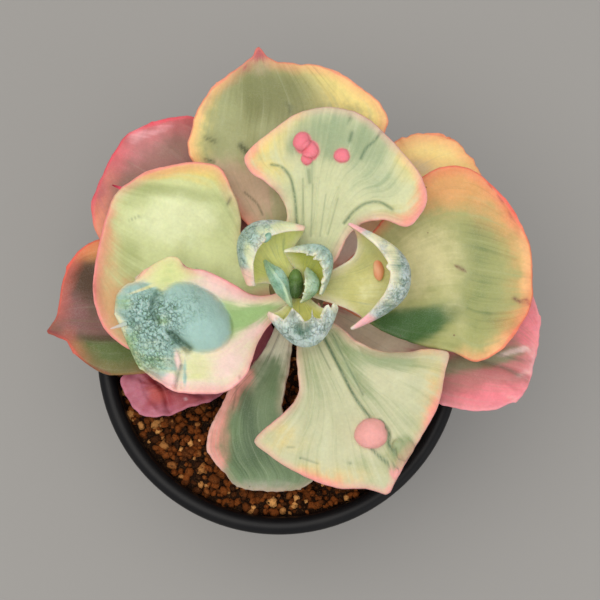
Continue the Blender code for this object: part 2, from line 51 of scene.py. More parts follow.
# Pot, mm
POT_AROUND = 192
POT_HEIGHT = 74.0
RIM_RADIUS = 44.8
LIP_HEIGHT = 9.0
WALL_TOP_RADIUS = 42.8
BASE_RADIUS = 31.0
WALL = 2.2
POT_FLOOR = 2.4
DRAIN_HOLES = 8
DRAIN_RADIUS = 3.2
DRAIN_CIRCLE = 20.0

# Soil and stem, mm; heights are over the rim
SOIL_LEVEL = -5.0
SOIL_AROUND = 144
GRANULE_PITCH = 1.62
LOOSE_GRANULES = 1100
GRANULE_POINTS = 26
SCARS = 26
SCAR_TURN = radians(137.5)
STEM_KNOTS = ((4.0, 11.0, -24.0, 4.8), (4.0, 11.0, -5.0, 5.2), (4.2, 11.8, 2.0, 6.2),
              (4.3, 12.6, 7.5, 6.8), (4.5, 13.4, 12.5, 6.8), (4.6, 14.2, 16.5, 5.6),
              (4.6, 14.5, 19.0, 3.8), (4.6, 14.5, 20.5, 1.2))

# The view that the outlines and marks were read in
EYE = np.array([5.1, -17.2, 412.7])
AIM = np.array([5.1, 12.4, POT_HEIGHT])
LENS = 83.04
VIEW_SHIFT = -0.5
VIEW_ZERO = (279.7, 353.3)  # the pixel of the rim plane's zero
VIEW_SCALE = 4.02  # pixels per mm on that plane

# An open leaf's rows end where it narrows to this share of its widest
CAP_SHARE = 0.62

# How far round its ball, from the top, a wart meets the leaf
WART_LEAN = radians(112)

# Linear colours of pale streaks, pale mottling and powder
PALE_STREAK = (0.85, 0.87, 0.70, 1)
PALE_MOTTLE = (0.72, 0.80, 0.76, 1)
POWDER = (0.76, 0.80, 0.70, 1)

# One line per leaf. rows: left and right end of crosswise rows from base to tip, as seen on the
# rim's plane. rise: height of the midline over the rim, base to tip. cup: rise of the margins over
# the midline, as a share of the half width. tilt: rise of the right margin over the left, same
# share. wave: height, count and phase of the margin's waves. bow: how far the rows' middles bulge
# towards the tip, mm. thick: base, middle and margin.
BLADES = {
    "leaf_front_left_crimson": dict(
        rows=((-1, 5, -3, 9), (-9, -7, -11, -2), (-15, -11, -18, -0.5), (-21, -13, -25, 0),
              (-27.5, -15.3, -32, -1), (-32, -15.3, -37, -4), (-35, -13.9, -38.3, -8),
              (-37, -11.8, -37.8, -10.5)),
        rise=(-1.5, 0.3, 0.8, 0.8), cup=(0.1, 0.1, 0.25), tilt=(0, 0, 0), wave=(0.7, 3.5, 0.4),
        thick=(2.2, 1.5, 0.9)),
    "leaf_front_green": dict(
        rows=((7, 13, 1.5, 12), (5, 8, -0.8, 6.6), (3.4, 3, -4, 0), (2, -4, -7.5, -5),
              (0.8, -9.5, -12, -9.5), (0.6, -14.5, -14.5, -14), (3.5, -20, -17, -20),
              (7.5, -25.5, -16.8, -25), (9, -30, -13.2, -29.3), (6, -32.7, -10.8, -32.3),
              (1, -34, -5.5, -33.8)),
        rise=(3.5, 4.5, 6, 5.5, 4), cup=(0.2, 0.3, 0.15), tilt=(0, 0, 0), wave=(0.6, 2.5, 1.0),
        thick=(3.0, 2.8, 1.1)),
    "leaf_left_rust": dict(
        rows=((4, 10.5, 4, 16), (-3, 9, -3, 15), (-12, 3, -12, 19), (-24, -3, -24, 24),
              (-35, -5.2, -35, 27), (-43, -5.1, -43.5, 28.2), (-48, -2, -49.3, 25.2),
              (-51, 1.2, -53, 18.5), (-53.5, 3.7, -55, 8.5), (-56.8, 4.7, -57, 5.3)),
        rise=(2.8, 3.2, 4.6, 6.4, 7.0), cup=(0.1, 0.07, 0.05), tilt=(0, 0, 0), wave=(0.5, 2.0, 0.0),
        thick=(3.0, 2.6, 1.1)),
    "leaf_back_left_mauve": dict(
        rows=((3, 11.5, 6.5, 16), (-2.5, 16.5, 1.6, 21.5), (-13, 20, -4, 31), (-25, 21, -10, 43),
              (-36, 22.5, -15, 53), (-43.5, 27, -21, 58.5), (-46.3, 34.5, -29, 57.8),
              (-45.2, 40.5, -34.5, 55.7), (-43, 46, -38.2, 54), (-41, 50, -40, 51.5)),
        rise=(6.2, 7.4, 8.8, 10.4, 11.4), cup=(0.05, 0.02, 0.05), tilt=(0, 0, 0), wave=(0.6, 3.0, 2.0),
        thick=(3.0, 2.6, 1.1)),
    "leaf_back_right_amber": dict(
        rows=((2.5, 16, 6.5, 12), (8, 22.5, 12, 18.5), (14, 33, 20, 23.5), (20, 43, 29, 28),
              (27, 51, 38, 33), (33, 54.2, 45, 39), (39, 54.3, 49, 42), (44, 52.4, 50, 44.5),
              (47.2, 49, 48.6, 47)),
        rise=(5.0, 6.5, 8.0, 9.0, 9.0), cup=(0.06, 0.1, 0.06), tilt=(0, 0, 0), wave=(0.7, 3.0, 0.8),
        thick=(3.0, 2.6, 1.1)),
    "leaf_right_rose": dict(
        rows=((4, 15.5, 4, 10), (11, 14.5, 10.5, 8.5), (23, 14, 20, 1), (34, 15, 28, -6),
              (45, 17, 35, -10.5), (55, 18, 42.5, -13.3), (61, 16, 50, -14.2), (63.6, 9.5, 57, -12),
              (63.6, 2.5, 60.8, -8.5), (62.8, -1.5, 62, -4.5)),
        rise=(2.5, 4.0, 6.0, 7.5, 8.5), cup=(0.1, 0.12, 0.1), tilt=(0, 0, 0), wave=(0.5, 2.5, 1.5),
        thick=(3.0, 2.6, 1.1)),
    "leaf_right_olive": dict(
        rows=((4, 17.5, 4, 11), (12, 19, 12, 12), (19, 25, 20, 8.6), (26, 33, 28, 4.2),
              (33, 41.5, 36, 1.5), (40, 45.8, 43, 0.2), (46.5, 45.8, 47.5, -2.1), (53, 41, 53, -0.2),
              (58.5, 33, 57.5, 5), (62, 25.5, 60.8, 9.3), (62.3, 18, 62, 12.5),
              (62.4, 14.5, 62.3, 13.5)),
        rise=(9.6, 11.2, 13.4, 16.0, 18.0), cup=(0.15, 0.16, 0.06), tilt=(0, 0, 0), wave=(0.6, 3.0, 0.6),
        thick=(3.1, 2.8, 1.1)),
    "leaf_back_pointed": dict(
        rows=((1.5, 14.5, 7.5, 14.5), (-0.5, 22.5, 6, 24), (-7, 31, 6.5, 35), (-16, 41, 16, 45),
              (-22.5, 50, 25, 52), (-21.5, 57, 26.7, 59), (-18.2, 64, 19.5, 66.5),
              (-12.5, 69.3, 9.5, 71.6), (-8.3, 72.7, -1.6, 73.1), (-6.1, 75.0, -4.1, 75.0),
              (-5.4, 76.4, -5.1, 76.4)),
        rise=(9.8, 11.6, 13.6, 16.4, 18.4), cup=(0.12, 0.14, 0.05), tilt=(0, 0, 0), wave=(0.5, 3.0, 2.2),
        thick=(3.1, 2.8, 1.1)),
    "leaf_left_cupped": dict(
        rows=((5, 12, 5, 18), (-3, 14, -2, 20), (-9, 11.5, -8.8, 27), (-17, 7, -9.8, 34),
              (-26, 2.5, -12.2, 40.5), (-35, 0.5, -15.4, 46.0), (-41.5, 4.5, -21, 47),
              (-44.8, 12, -29, 45.5), (-45, 20, -34.5, 43.6), (-43.8, 29, -37.8, 41.5),
              (-42.4, 34.5, -39.6, 40.2), (-41.6, 37.2, -40.8, 38.8)),
        rise=(12.8, 13.2, 14.2, 16.5, 20.5), cup=(0.12, 0.28, 0.10), tilt=(0, 0.05, 0),
        wave=(0.5, 2.0, 0.5), thick=(3.1, 2.8, 1.1)),
    "leaf_left_caruncled": dict(
        rows=((5, 11, 5, 17), (-1.5, 8, -2, 14.3), (-4.5, 3.3, -6.5, 14.2), (-6.5, -1.5, -12, 16.8),
              (-8.8, -6, -18, 20.1), (-12.5, -9.3, -22.3, 20.9), (-19, -9.8, -26, 23.4),
              (-26, -9.3, -31, 21.8), (-31, -6, -35.5, 17.5), (-35, -2.3, -37.6, 17.0),
              (-37.2, 2.2, -40.0, 14.2), (-38.8, 6.0, -40.6, 9.4)),
        rise=(17.3, 19.2, 22.4, 25.4, 26.0), cup=(0.15, 0.20, 0.05), tilt=(0, 0, 0),
        wave=(0.8, 3.0, 0.2), thick=(3.1, 2.8, 1.1)),
    "leaf_front_fan": dict(
        rows=((8, 15.5, 2, 13.5), (11, 9, 4.2, 6), (15.5, 6, 4.5, 0.5), (18.5, 2.8, 5, -4.5),
              (23.5, 0.6, 4.8, -9.5), (31, 0.2, 1.2, -14.8), (38, 0.9, -4.6, -19.5),
              (41.5, 0.3, -6.3, -21.6), (40.8, -5, -2.5, -25.2), (38.8, -13.5, 6, -30.2),
              (34.5, -21, 14, -33), (30, -28.5, 21.5, -33.3), (27.0, -34.1, 26.0, -34.6)),
        rise=(13.6, 15.2, 18.2, 20.4, 20.2), cup=(0.3, 0.18, -0.06), tilt=(0, 0, 0),
        wave=(0.9, 2.5, 0.3), bow=(0, 0.5, 3, 5, 1.5, 0), thick=(3.1, 2.8, 1.1)),
    "leaf_back_fan": dict(
        rows=((1.6, 17.2, 7.4, 15.4), (2.6, 22, 9.6, 19), (1.5, 29, 14, 23.5), (2.2, 33.5, 16.5, 28),
              (0.3, 38.3, 20.3, 32.0), (-3.3, 42.3, 25.6, 33), (-7.6, 45.2, 32, 31.2),
              (-8.8, 48.5, 35.8, 35), (-1.6, 55.5, 35.8, 42.5), (5.5, 60, 30.7, 49.7),
              (12.5, 61.2, 26.3, 54.4), (18.5, 60.2, 22.8, 57.8)),
        rise=(15.5, 17.5, 21.0, 24.5, 26.0), cup=(0.26, 0.16, -0.05), tilt=(0, 0, 0),
        wave=(0.9, 2.5, 2.6), bow=(0, 0.5, 4, 7, 1.5, 0), thick=(3.1, 2.8, 1.1)),
}

# Hooded leaves curl over the middle, so the outer face is the one seen. rows: left end, middle and
# right end of crosswise rows from base to rolled margin, each as seen, with its height over the rim.
HOODS = {
    "leaf_right_hooded": dict(
        rows=((8, 18, 17.3, 7, 15.5, 16.8, 8, 13.4, 17.3),
              (13.7, 20.9, 19, 14, 16.3, 17.4, 14.8, 11.2, 19),
              (18.3, 24.2, 21, 22.5, 17, 17.5, 19, 9.2, 21),
              (19.2, 28.2, 23.5, 29.5, 18, 21, 20.3, 7.8, 23.5),
              (18.4, 31, 26, 32.4, 18.8, 27, 19.2, 6.0, 26),
              (17.2, 32.2, 27.5, 31.6, 19.2, 31, 17.8, 5.4, 27.5),
              (17.0, 32.0, 28.0, 27.6, 19.6, 33.4, 17.6, 5.6, 28.0)),
        ruffle=(0.25, 5), thick=(2.2, 1.7, 0.9), bend=(2.2, 2.2, 2.3, 2.6, 2.7, 2.4, 1.9)),
    "leaf_back_left_hooded": dict(
        rows=((2, 15, 18.0, 2, 18.5, 17.5, 4.5, 18.5, 18.0),
              (-3.2, 16.8, 20, -4, 22.5, 19.5, 3.6, 25.3, 20),
              (-6.4, 16.4, 22.5, -7.8, 27.6, 22.5, 5.8, 29.4, 22.5),
              (-7.9, 16.3, 24.5, -8.6, 30.6, 26.5, 6.5, 31.1, 24.5),
              (-7.2, 16.1, 26, -7.0, 29.2, 30, 6.5, 31.0, 26),
              (-5.9, 16.2, 26.5, -4.4, 26.8, 31, 6.3, 30.2, 26.4)),
        ruffle=(0.3, 5), thick=(2.2, 1.6, 0.8)),
    "leaf_back_right_frilled": dict(
        rows=((5.5, 18.5, 19.5, 6.5, 16.5, 19.5, 6.5, 14.5, 19.5),
              (2.4, 22.6, 22, 9.6, 20.8, 21, 9.9, 13.9, 22),
              (1.3, 24.6, 24, 11.9, 24.2, 24, 10.5, 13.7, 24),
              (1.0, 25.3, 25.5, 12.2, 25.2, 27.5, 10.4, 13.9, 25.5),
              (1.2, 25.2, 26.3, 9.9, 22.5, 29.8, 10.2, 14.1, 26.2)),
        ruffle=(0.45, 7), thick=(1.9, 1.5, 0.8)),
    "leaf_front_frilled": dict(
        rows=((7.6, 13.4, 19, 5.2, 12.4, 18.2, 2.8, 13.4, 19),
              (10.9, 11.0, 21.4, 6.0, 8.6, 19.8, 0.2, 10.6, 21.2),
              (13.8, 10.8, 23.2, 6.6, 3.6, 22.5, -2.4, 9.4, 23),
              (14.6, 10.9, 25.5, 7.0, 1.3, 26.5, -3.1, 9.3, 24.8),
              (14.6, 11.4, 26.6, 6.8, 4.2, 30.0, -3.1, 9.6, 25.8),
              (14.3, 11.9, 27.2, 6.4, 8.4, 31.4, -2.9, 10.0, 26.2)),
        ruffle=(0.7, 7), thick=(2.2, 1.6, 0.8)),
    "leaf_heart_right": dict(
        rows=((6.6, 18.6, 22.6, 7.4, 16.5, 22.4, 6.4, 14.4, 22.6),
              (6.9, 20.4, 23.6, 9.2, 16.6, 23.4, 6.4, 12.9, 23.6),
              (6.8, 21.2, 24.6, 9.9, 16.3, 25.4, 5.4, 12.0, 24.6),
              (6.3, 20.6, 25.4, 7.9, 16.0, 27.6, 5.2, 12.2, 25.4),
              (5.9, 19.8, 25.6, 6.3, 15.9, 28.0, 5.3, 12.5, 25.6)),
        ruffle=(0.25, 3), thick=(0.9, 0.9, 0.7)),
}

# The folded leaf left of the bud: rows as in BLADES, with margins that hang from a ridge
FOLDED = {
    "leaf_heart_left": dict(
        rows=((-3.4, 23.1, -4.1, 22.6), (-1.6, 22.0, -3.7, 20.6), (0.6, 20.9, -3.0, 18.4),
              (2.2, 18.6, -2.0, 16.2), (3.0, 16.2, -0.9, 14.3), (3.4, 13.8, 0.7, 12.8),
              (3.5, 11.0, 2.7, 10.8)),
        rise=(23.6, 25.6, 26.4, 25.6, 23.2), cup=(0, -0.4, -0.5, -0.4, 0), tilt=(0, 0, 0),
        wave=(0, 1, 0), thick=(0.8, 1.0, 0.7)),
}

BUD = dict(centre=(4.0, 16.9), height=(21.4, 26.0), half=(1.9, 3.7))

# Light: name, place in m, size in m, power in W, colour
LAMPS = (("soft_lamp", (-0.16, 0.02, 1.0), 0.8, 5.5, (255, 250, 243)),
         ("low_fill", (0.8, -0.7, 0.5), 0.8, 1.4, (250, 252, 255)))
SKY_TONE = (252, 252, 255)
SKY_STRENGTH = 0.62
FLOOR_TONE = (158, 156, 152)
FLOOR_REACH = 3.0  # m
LIT_POINT = Vector((0, 0, 0.08))  # m

# The four colour masks of a leaf
WARM, GREEN, BLUSH, BLOOM = range(4)

# A leaf's unseen face, where it has no marks of its own
BACK_MARKS = ((BLOOM, 0.55, 300, 300, 400, 400), (BLUSH, 0.7, 300, 300, 400, 400, 0, 5.0),
              (WARM, 0.4, 300, 300, 400, 400, 0, 9.0))

# Looks of each leaf. Colours are screen values, from 0 to 255. marks: mask, strength, x, y, radius
# across and up, turn, band in mm, hardness, in pixels of the view. rim_marks and mottle: the same
# without the mask. ink: width, strength, then the line's points. creases: width and depth in mm, then
# the line's points. knobs and domes: x, y in the view, radii in mm, turn, height. frill and nibble:
# height or depth of the margin's unevenness, its length and how far in it reaches, mm. teeth: place
# across the margin, width, length as a share of the leaf. grit: depth of wrinkles where mottled, mm.
LOOKS = {
    "leaf_front_left_crimson": dict(
        ground=(176, 60, 66), warm=(214, 96, 88), green=(112, 24, 34), blush=(196, 116, 134),
        bloom=(236, 200, 204), rim=(206, 126, 146), under=(150, 70, 78), rim_width=1.5, streaks=0.35,
        powder=0.05, spots=0.2, frill=(0.8, 11.0, 5.0), nibble=(0.35, 9.0, 2.0),
        marks=((BLUSH, 0.8, 138, 392, 14, 26, 10), (BLUSH, 0.7, 166, 412, 20, 9),
               (GREEN, 0.75, 172, 384, 26, 7, -10), (GREEN, 0.95, 212, 388, 40, 9, 0),
               (WARM, 0.7, 158, 396, 12, 10), (WARM, 0.5, 196, 402, 16, 5),
               (BLOOM, 0.8, 188, 399, 2.5, 2)),
        creases=((0.7, 0.8, 148, 372, 166, 390, 172, 410), (0.5, 0.6, 172, 378, 190, 392, 205, 396),
                 (0.6, -0.5, 140, 376, 146, 396, 158, 410))),
    "leaf_front_green": dict(
        ground=(126, 150, 108), warm=(255, 255, 225), green=(84, 108, 72), blush=(252, 166, 152),
        bloom=(168, 172, 150), rim=(226, 184, 170), under=(118, 132, 100), rim_width=0.6, streaks=0.8,
        powder=0.06, spots=0.5, rim_share=0.5, frill=(0.35, 7.0, 2.0), nibble=(0.15, 5.0, 1.2),
        marks=((BLUSH, 1.0, 242, 382, 16, 34, 18, 2.4, 6), (BLUSH, 1.0, 216, 438, 18, 34, 6, 4.2, 6),
               # The near-white warm patch at (272, 342), where the leaves above shade this leaf, is partly
               # its own olive-yellow and partly painted light.
               (BLUSH, 0.9, 228, 396, 14, 24, 16, 2.8, 6), (WARM, 1.0, 272, 342, 24, 18),
               (BLOOM, 0.6, 255, 484, 45, 7), (BLUSH, 0.35, 262, 486, 50, 8, 0, 2.0),
               (WARM, 0.4, 287, 372, 9, 40), (WARM, 0.25, 252, 372, 16, 26),
               (GREEN, 0.6, 250, 455, 26, 24), (GREEN, 0.7, 248, 410, 10, 50, 8)),
        rim_marks=((0.5, 219, 440, 16, 40),),
        ink=((2.2, 1.0, 263, 347, 266, 346), (0.8, 0.5, 280, 334, 268, 362),
             (0.8, 0.4, 290, 340, 286, 380), (0.8, 0.5, 240, 378, 234, 410)),
        ink_tone=(66, 64, 40)),
    "leaf_left_rust": dict(
        ground=(116, 80, 70), warm=(228, 160, 86), green=(96, 112, 54), blush=(136, 86, 84),
        bloom=(84, 60, 40), rim=(240, 104, 86), under=(140, 110, 98), rim_width=1.1, streaks=0.4,
        powder=0.06, spots=0.2, frill=(0.2, 9.0, 2.5), nibble=(0.06, 5.0, 1.2),
        # Its bloom colour is dark brown: the bloom patch at (92, 280) is painted shadow, cast by the cupped
        # leaf's margin; the thin one at (108, 340) is a dark band above the green.
        marks=((WARM, 1.0, 94, 244, 26, 26, -10), (BLOOM, 0.95, 92, 280, 20, 22, 10),
               (BLUSH, 0.8, 74, 312, 20, 22, 30), (BLUSH, 0.6, 110, 328, 30, 12),
               (GREEN, 1.0, 112, 360, 66, 22, -4, 0, 7), (BLOOM, 0.6, 108, 340, 34, 5)),
        rim_marks=((-0.75, 110, 372, 70, 16), (-0.6, 58, 330, 12, 14), (0.3, 80, 265, 20, 30)),
        ink=((2.2, 0.95, 50, 331, 62, 336, 73, 346), (1.6, 0.6, 73, 346, 90, 364, 112, 374)),
        ink_tone=(104, 40, 46)),
    "leaf_back_left_mauve": dict(
        ground=(170, 116, 108), warm=(240, 172, 124), green=(150, 114, 98), blush=(206, 134, 134),
        bloom=(246, 206, 208), rim=(240, 92, 106), under=(176, 124, 118), rim_width=1.7, streaks=0.5,
        powder=0.05, spots=0.3, frill=(0.3, 10.0, 3.0), nibble=(0.10, 6.0, 1.5),
        marks=((BLUSH, 0.7, 140, 146, 36, 18, 35), (GREEN, 0.6, 130, 195, 24, 26),
               # The pale pink bloom patches at (138, 136) and (160, 130) are a painted highlight.
               (WARM, 0.9, 98, 228, 18, 26, 0, 6.0), (BLOOM, 0.75, 138, 136, 12, 8, 30),
               (BLOOM, 0.5, 160, 130, 18, 5, 20), (GREEN, 0.5, 178, 150, 30, 14),
               (WARM, 0.35, 112, 196, 10, 30)),
        rim_marks=((-0.5, 95, 235, 14, 12), (0.4, 120, 160, 12, 20), (0.4, 160, 120, 20, 8))),
    "leaf_back_right_amber": dict(
        ground=(255, 220, 142), warm=(255, 228, 146), green=(220, 198, 154), blush=(250, 240, 228),
        bloom=(255, 226, 188), rim=(250, 132, 106), under=(214, 170, 130), rim_width=1.1, streaks=0.3,
        powder=0.05, spots=0.2, frill=(0.5, 6.0, 2.5), nibble=(0.35, 5.5, 1.8),
        marks=((WARM, 0.9, 436, 150, 34, 12), (GREEN, 0.7, 415, 170, 22, 10),
               # The near-white blush patch at (345, 245), on the base deep between the leaves above, is
               # partly the base's own mauve-grey and partly painted light.
               (BLUSH, 1.0, 345, 245, 34, 30), (BLOOM, 0.8, 372, 228, 22, 12)),
        rim_marks=((-0.7, 350, 240, 40, 36),)),
    "leaf_right_rose": dict(
        ground=(206, 124, 124), warm=(226, 212, 186), green=(146, 142, 108), blush=(255, 140, 152),
        bloom=(244, 214, 206), rim=(252, 160, 168), under=(190, 120, 118), rim_width=1.0, streaks=0.6,
        powder=0.06, spots=0.2, frill=(0.5, 7.0, 2.5), nibble=(0.12, 6.0, 1.3),
        marks=((BLUSH, 0.9, 500, 398, 56, 15), (BLUSH, 1.0, 528, 325, 16, 30),
               (GREEN, 0.95, 494, 358, 42, 8, 16), (GREEN, 0.85, 452, 364, 34, 10, 12),
               # The pale bloom lines and spots on the crinkles, at (512, 352), (531, 366), (521, 374) and
               # (512, 400), are painted highlights.
               (BLOOM, 0.75, 512, 352, 18, 3.5, 12), (BLOOM, 0.8, 531, 366, 4, 12, 0, 0, 2),
               (BLOOM, 0.55, 521, 374, 14, 3, 20), (BLOOM, 0.5, 512, 400, 14, 3, -24),
               # The pale beige warm patch at (365, 335), on the leaf's base in deep shade, is partly its
               # own mauve-beige and partly painted light.
               (WARM, 1.0, 365, 335, 70, 26, 0, 0, 5)),
        rim_marks=((-0.8, 370, 335, 80, 40), (0.5, 500, 410, 50, 8)),
        ink=((2.0, 0.75, 456, 354, 480, 362, 505, 370, 529, 384),
             (1.4, 0.5, 484, 350, 505, 358, 528, 362), (1.2, 0.55, 520, 372, 527, 384, 524, 396)),
        ink_tone=(104, 92, 70),
        creases=((1.0, 0.6, 456, 354, 480, 362, 505, 370, 529, 384),
                 (0.8, -0.5, 480, 348, 505, 354, 532, 358), (0.5, 0.5, 520, 372, 527, 384, 524, 396),
                 (0.6, -0.5, 500, 384, 516, 398, 520, 408))),
    "leaf_right_olive": dict(
        ground=(176, 178, 112), warm=(232, 172, 106), green=(70, 108, 52), blush=(255, 222, 146),
        bloom=(218, 212, 156), rim=(250, 116, 98), under=(160, 164, 118), rim_width=0.9, streaks=0.35,
        powder=0.06, spots=0.6, frill=(0.3, 9.0, 2.5), nibble=(0.06, 4.0, 1.2),
        marks=((WARM, 0.9, 446, 188, 46, 26, 10), (WARM, 0.5, 492, 200, 30, 40, 40),
               (WARM, 0.9, 505, 235, 70, 112, 0, 4.6, 8), (BLUSH, 0.95, 520, 265, 14, 40, 0, 2.6),
               (BLUSH, 0.8, 488, 350, 30, 20, 0, 2.8), (BLOOM, 0.8, 425, 262, 40, 40, 0),
               (BLOOM, 0.55, 452, 318, 14, 22), (BLOOM, 0.6, 392, 286, 30, 24),
               (GREEN, 0.28, 474, 262, 26, 60), (GREEN, 0.22, 490, 320, 26, 24),
               (GREEN, 1.0, 414, 330, 50, 17, 26, 0, 4), (GREEN, 1.0, 398, 322, 34, 13, 8, 0, 5),
               (BLOOM, -0.9, 414, 334, 50, 18, 22)),
        rim_marks=((-1.3, 400, 342, 74, 36, 12, 0, 6), (0.3, 500, 205, 20, 30)),
        ink=((1.6, 0.8, 455, 268, 463, 272), (2.0, 0.8, 512, 300, 521, 305),
             (1.8, 0.8, 524, 301, 529, 309), (1.4, 0.9, 487, 184, 491, 189),
             (1.4, 0.9, 497, 197, 502, 204), (1.2, 0.7, 508, 214, 510, 220),
             (1.2, 0.7, 514, 226, 517, 232)),
        ink_tone=(110, 52, 52)),
    "leaf_back_pointed": dict(
        ground=(172, 176, 124), warm=(255, 234, 142), green=(134, 138, 86), blush=(210, 182, 152),
        bloom=(142, 66, 88), rim=(250, 138, 122), under=(150, 158, 116), rim_width=0.9, streaks=0.5,
        powder=0.06, spots=0.6, frill=(0.3, 10.0, 3.0), nibble=(0.24, 8.0, 2.5),
        marks=((GREEN, 0.85, 272, 92, 50, 34), (BLOOM, 0.8, 246, 68, 4, 2.5, -30),
               (WARM, 1.0, 350, 105, 60, 50, 0, 9.0), (WARM, 0.8, 300, 75, 50, 24, 0, 3.6),
               (WARM, 1.0, 188, 135, 30, 60, 0, 4.0), (WARM, 0.7, 222, 85, 24, 24, 0, 2.0),
               (GREEN, -0.8, 215, 130, 26, 40), (BLUSH, 0.95, 235, 200, 46, 42, 0, 0, 4),
               (BLUSH, 0.35, 262, 64, 14, 12), (BLOOM, 1.0, 259, 49, 10, 10),
               (BLOOM, 0.5, 259, 54, 18, 12, 0, 1.0)),
        ink=((3.2, 0.95, 241, 147, 247, 153), (1.8, 0.7, 206, 139, 216, 143),
             (2.0, 0.85, 206, 161, 214, 163), (3.0, 0.55, 243, 71, 249, 66),
             (2.0, 0.6, 290, 108, 291, 114), (1.0, 0.7, 245, 194, 258, 206, 263, 216),
             (1.4, 0.5, 286, 104, 292, 108)),
        ink_tone=(78, 86, 52)),
    "leaf_left_cupped": dict(
        ground=(220, 228, 166), warm=(240, 216, 122), green=(176, 186, 122), blush=(230, 182, 132),
        bloom=(234, 240, 190), rim=(250, 136, 142), under=(170, 186, 150), rim_width=0.8, streaks=0.3,
        powder=0.06, spots=0.1, frill=(0.25, 9.0, 2.5), nibble=(0.04, 5.0, 1.2),
        # The green band at (168, 192), inside the raised top margin, is painted shade.
        marks=((WARM, 1.0, 175, 172, 70, 24, -5, 3.4), (GREEN, 0.75, 168, 192, 60, 8, -10),
               (GREEN, 0.5, 136, 200, 20, 12), (BLUSH, 1.0, 100, 255, 26, 80, 5, 4.6),
               (GREEN, 0.5, 132, 262, 14, 40, 5), (BLUSH, 0.9, 122, 310, 30, 30),
               (GREEN, 0.4, 222, 215, 22, 34), (BLOOM, 0.85, 178, 222, 44, 26),
               (WARM, 0.4, 205, 176, 20, 14)),
        rim_marks=((-0.75, 236, 225, 14, 46), (-0.4, 118, 200, 8, 14)),
        ink=((1.6, 0.75, 231, 200, 228, 206), (0.9, 0.4, 131, 222, 142, 218, 154, 222),
             (1.8, 0.5, 198, 272, 240, 294, 270, 300))),
    "leaf_left_caruncled": dict(
        ground=(244, 236, 198), warm=(226, 230, 158), green=(164, 198, 130), blush=(250, 216, 208),
        bloom=(168, 204, 194), rim=(250, 150, 158), under=(176, 194, 160), rim_width=0.7, streaks=0.15,
        powder=0.05, spots=0.1, grid=(170, 120), frill=(0.25, 9.0, 2.5), nibble=(0.05, 5.0, 1.2),
        relief=0.15, mottle_tone=(98, 138, 98), mottling=0.85, bump=0.15,
        marks=((WARM, 0.95, 172, 272, 34, 20, 20), (GREEN, 0.3, 168, 278, 7, 16, -20),
               (BLUSH, 0.8, 228, 292, 40, 10, -12), (BLUSH, 0.8, 210, 277, 20, 8, -32, 2.0),
               (BLUSH, 0.75, 232, 362, 24, 22, 30), (BLUSH, 0.8, 255, 332, 22, 8, 38),
               (GREEN, 1.0, 256, 318, 40, 13, 6, 0, 6), (GREEN, 0.9, 228, 322, 14, 26),
               (WARM, 0.6, 200, 368, 18, 14), (BLUSH, 0.6, 205, 387, 40, 7),
               (BLOOM, 1.0, 186, 308, 27, 25, 0, 0, 12), (BLOOM, 1.0, 197, 318, 31, 28, 0, 0, 12),
               (BLOOM, 1.0, 206, 328, 27, 26, 0, 0, 12), (BLOOM, 1.0, 139, 303, 26, 22, 0, 0, 10),
               (BLOOM, 1.0, 158, 332, 32, 28, 0, 0, 10), (BLOOM, 1.0, 156, 358, 32, 18, -38, 0, 10),
               (BLOOM, -0.9, 130, 325, 40, 90, 0, 0.7, 6), (BLOOM, -0.55, 127, 304, 9, 9),
               (GREEN, 0.9, 127, 304, 10, 10), (BLOOM, -0.6, 135, 341, 6, 13, -25),
               (GREEN, 0.9, 135, 341, 8, 15, -25), (BLOOM, -0.5, 165, 321, 8, 6),
               (GREEN, 1.0, 165, 321, 10, 8), (BLOOM, -0.45, 152, 360, 28, 20, -40),
               (GREEN, 0.8, 152, 360, 28, 20, -40), (BLOOM, -1.0, 147, 290, 17, 1.7, 20, 0, 4),
               (BLOOM, -1.0, 174, 381, 9, 9, 0, 0, 4), (BLUSH, 1.0, 172, 381, 9, 9, 0, 0, 4),
               (GREEN, -1.0, 171, 382, 8, 8), (BLOOM, -0.9, 180, 362, 3, 12, 10),
               (BLUSH, 0.9, 180, 362, 4, 12, 10), (BLOOM, 0.8, 187, 374, 2, 16)),
        mottle=((1.0, 146, 312, 20, 22), (0.35, 188, 306, 26, 22), (1.0, 156, 346, 26, 30, -30),
                (0.8, 168, 320, 14, 18)),
        rim_marks=((-1.2, 128, 330, 40, 56, 0, 0, 6), (-0.8, 165, 262, 22, 12)),
        domes=((186, 308, 6.6, 6.0, -30, 4.4), (197, 318, 8.0, 7.0, -33, 5.0),
               (207, 328, 6.8, 6.4, -20, 4.6), (137, 303, 5.4, 4.8, 0, 3.0),
               (163, 322, 7.0, 6.5, 0, 3.2), (156, 352, 8.5, 4.8, -45, 2.4),
               (172, 372, 4.5, 3.2, -35, 1.6)),
        grit=0.28,
        creases=((0.8, 1.6, 172, 333, 182, 343, 190, 350), (0.7, 1.2, 160, 294, 154, 310, 160, 326),
                 (0.5, 0.7, 140, 320, 160, 318), (0.5, 0.9, 176, 354, 180, 372, 176, 390),
                 (0.4, 0.5, 184, 358, 184, 388)),
        ink=((3.2, 0.85, 174, 334, 184, 343, 192, 349), (1.8, 0.6, 159, 296, 153, 310, 160, 322),
             (2.2, 1.0, 186, 267, 190, 268), (1.6, 0.7, 183, 366, 180, 378, 178, 388),
             (1.4, 0.6, 241, 377, 241, 379)),
        ink_tone=(76, 108, 88)),
    "leaf_front_fan": dict(
        ground=(210, 210, 170), warm=(226, 204, 132), green=(146, 164, 116), blush=(252, 150, 130),
        bloom=(242, 172, 164), rim=(250, 170, 166), under=(176, 188, 150), rim_width=0.6, streaks=0.75,
        powder=0.07, spots=0.4, grid=(170, 120), frill=(0.2, 9.0, 2.0), nibble=(0.05, 4.5, 1.2), cap=1.0,
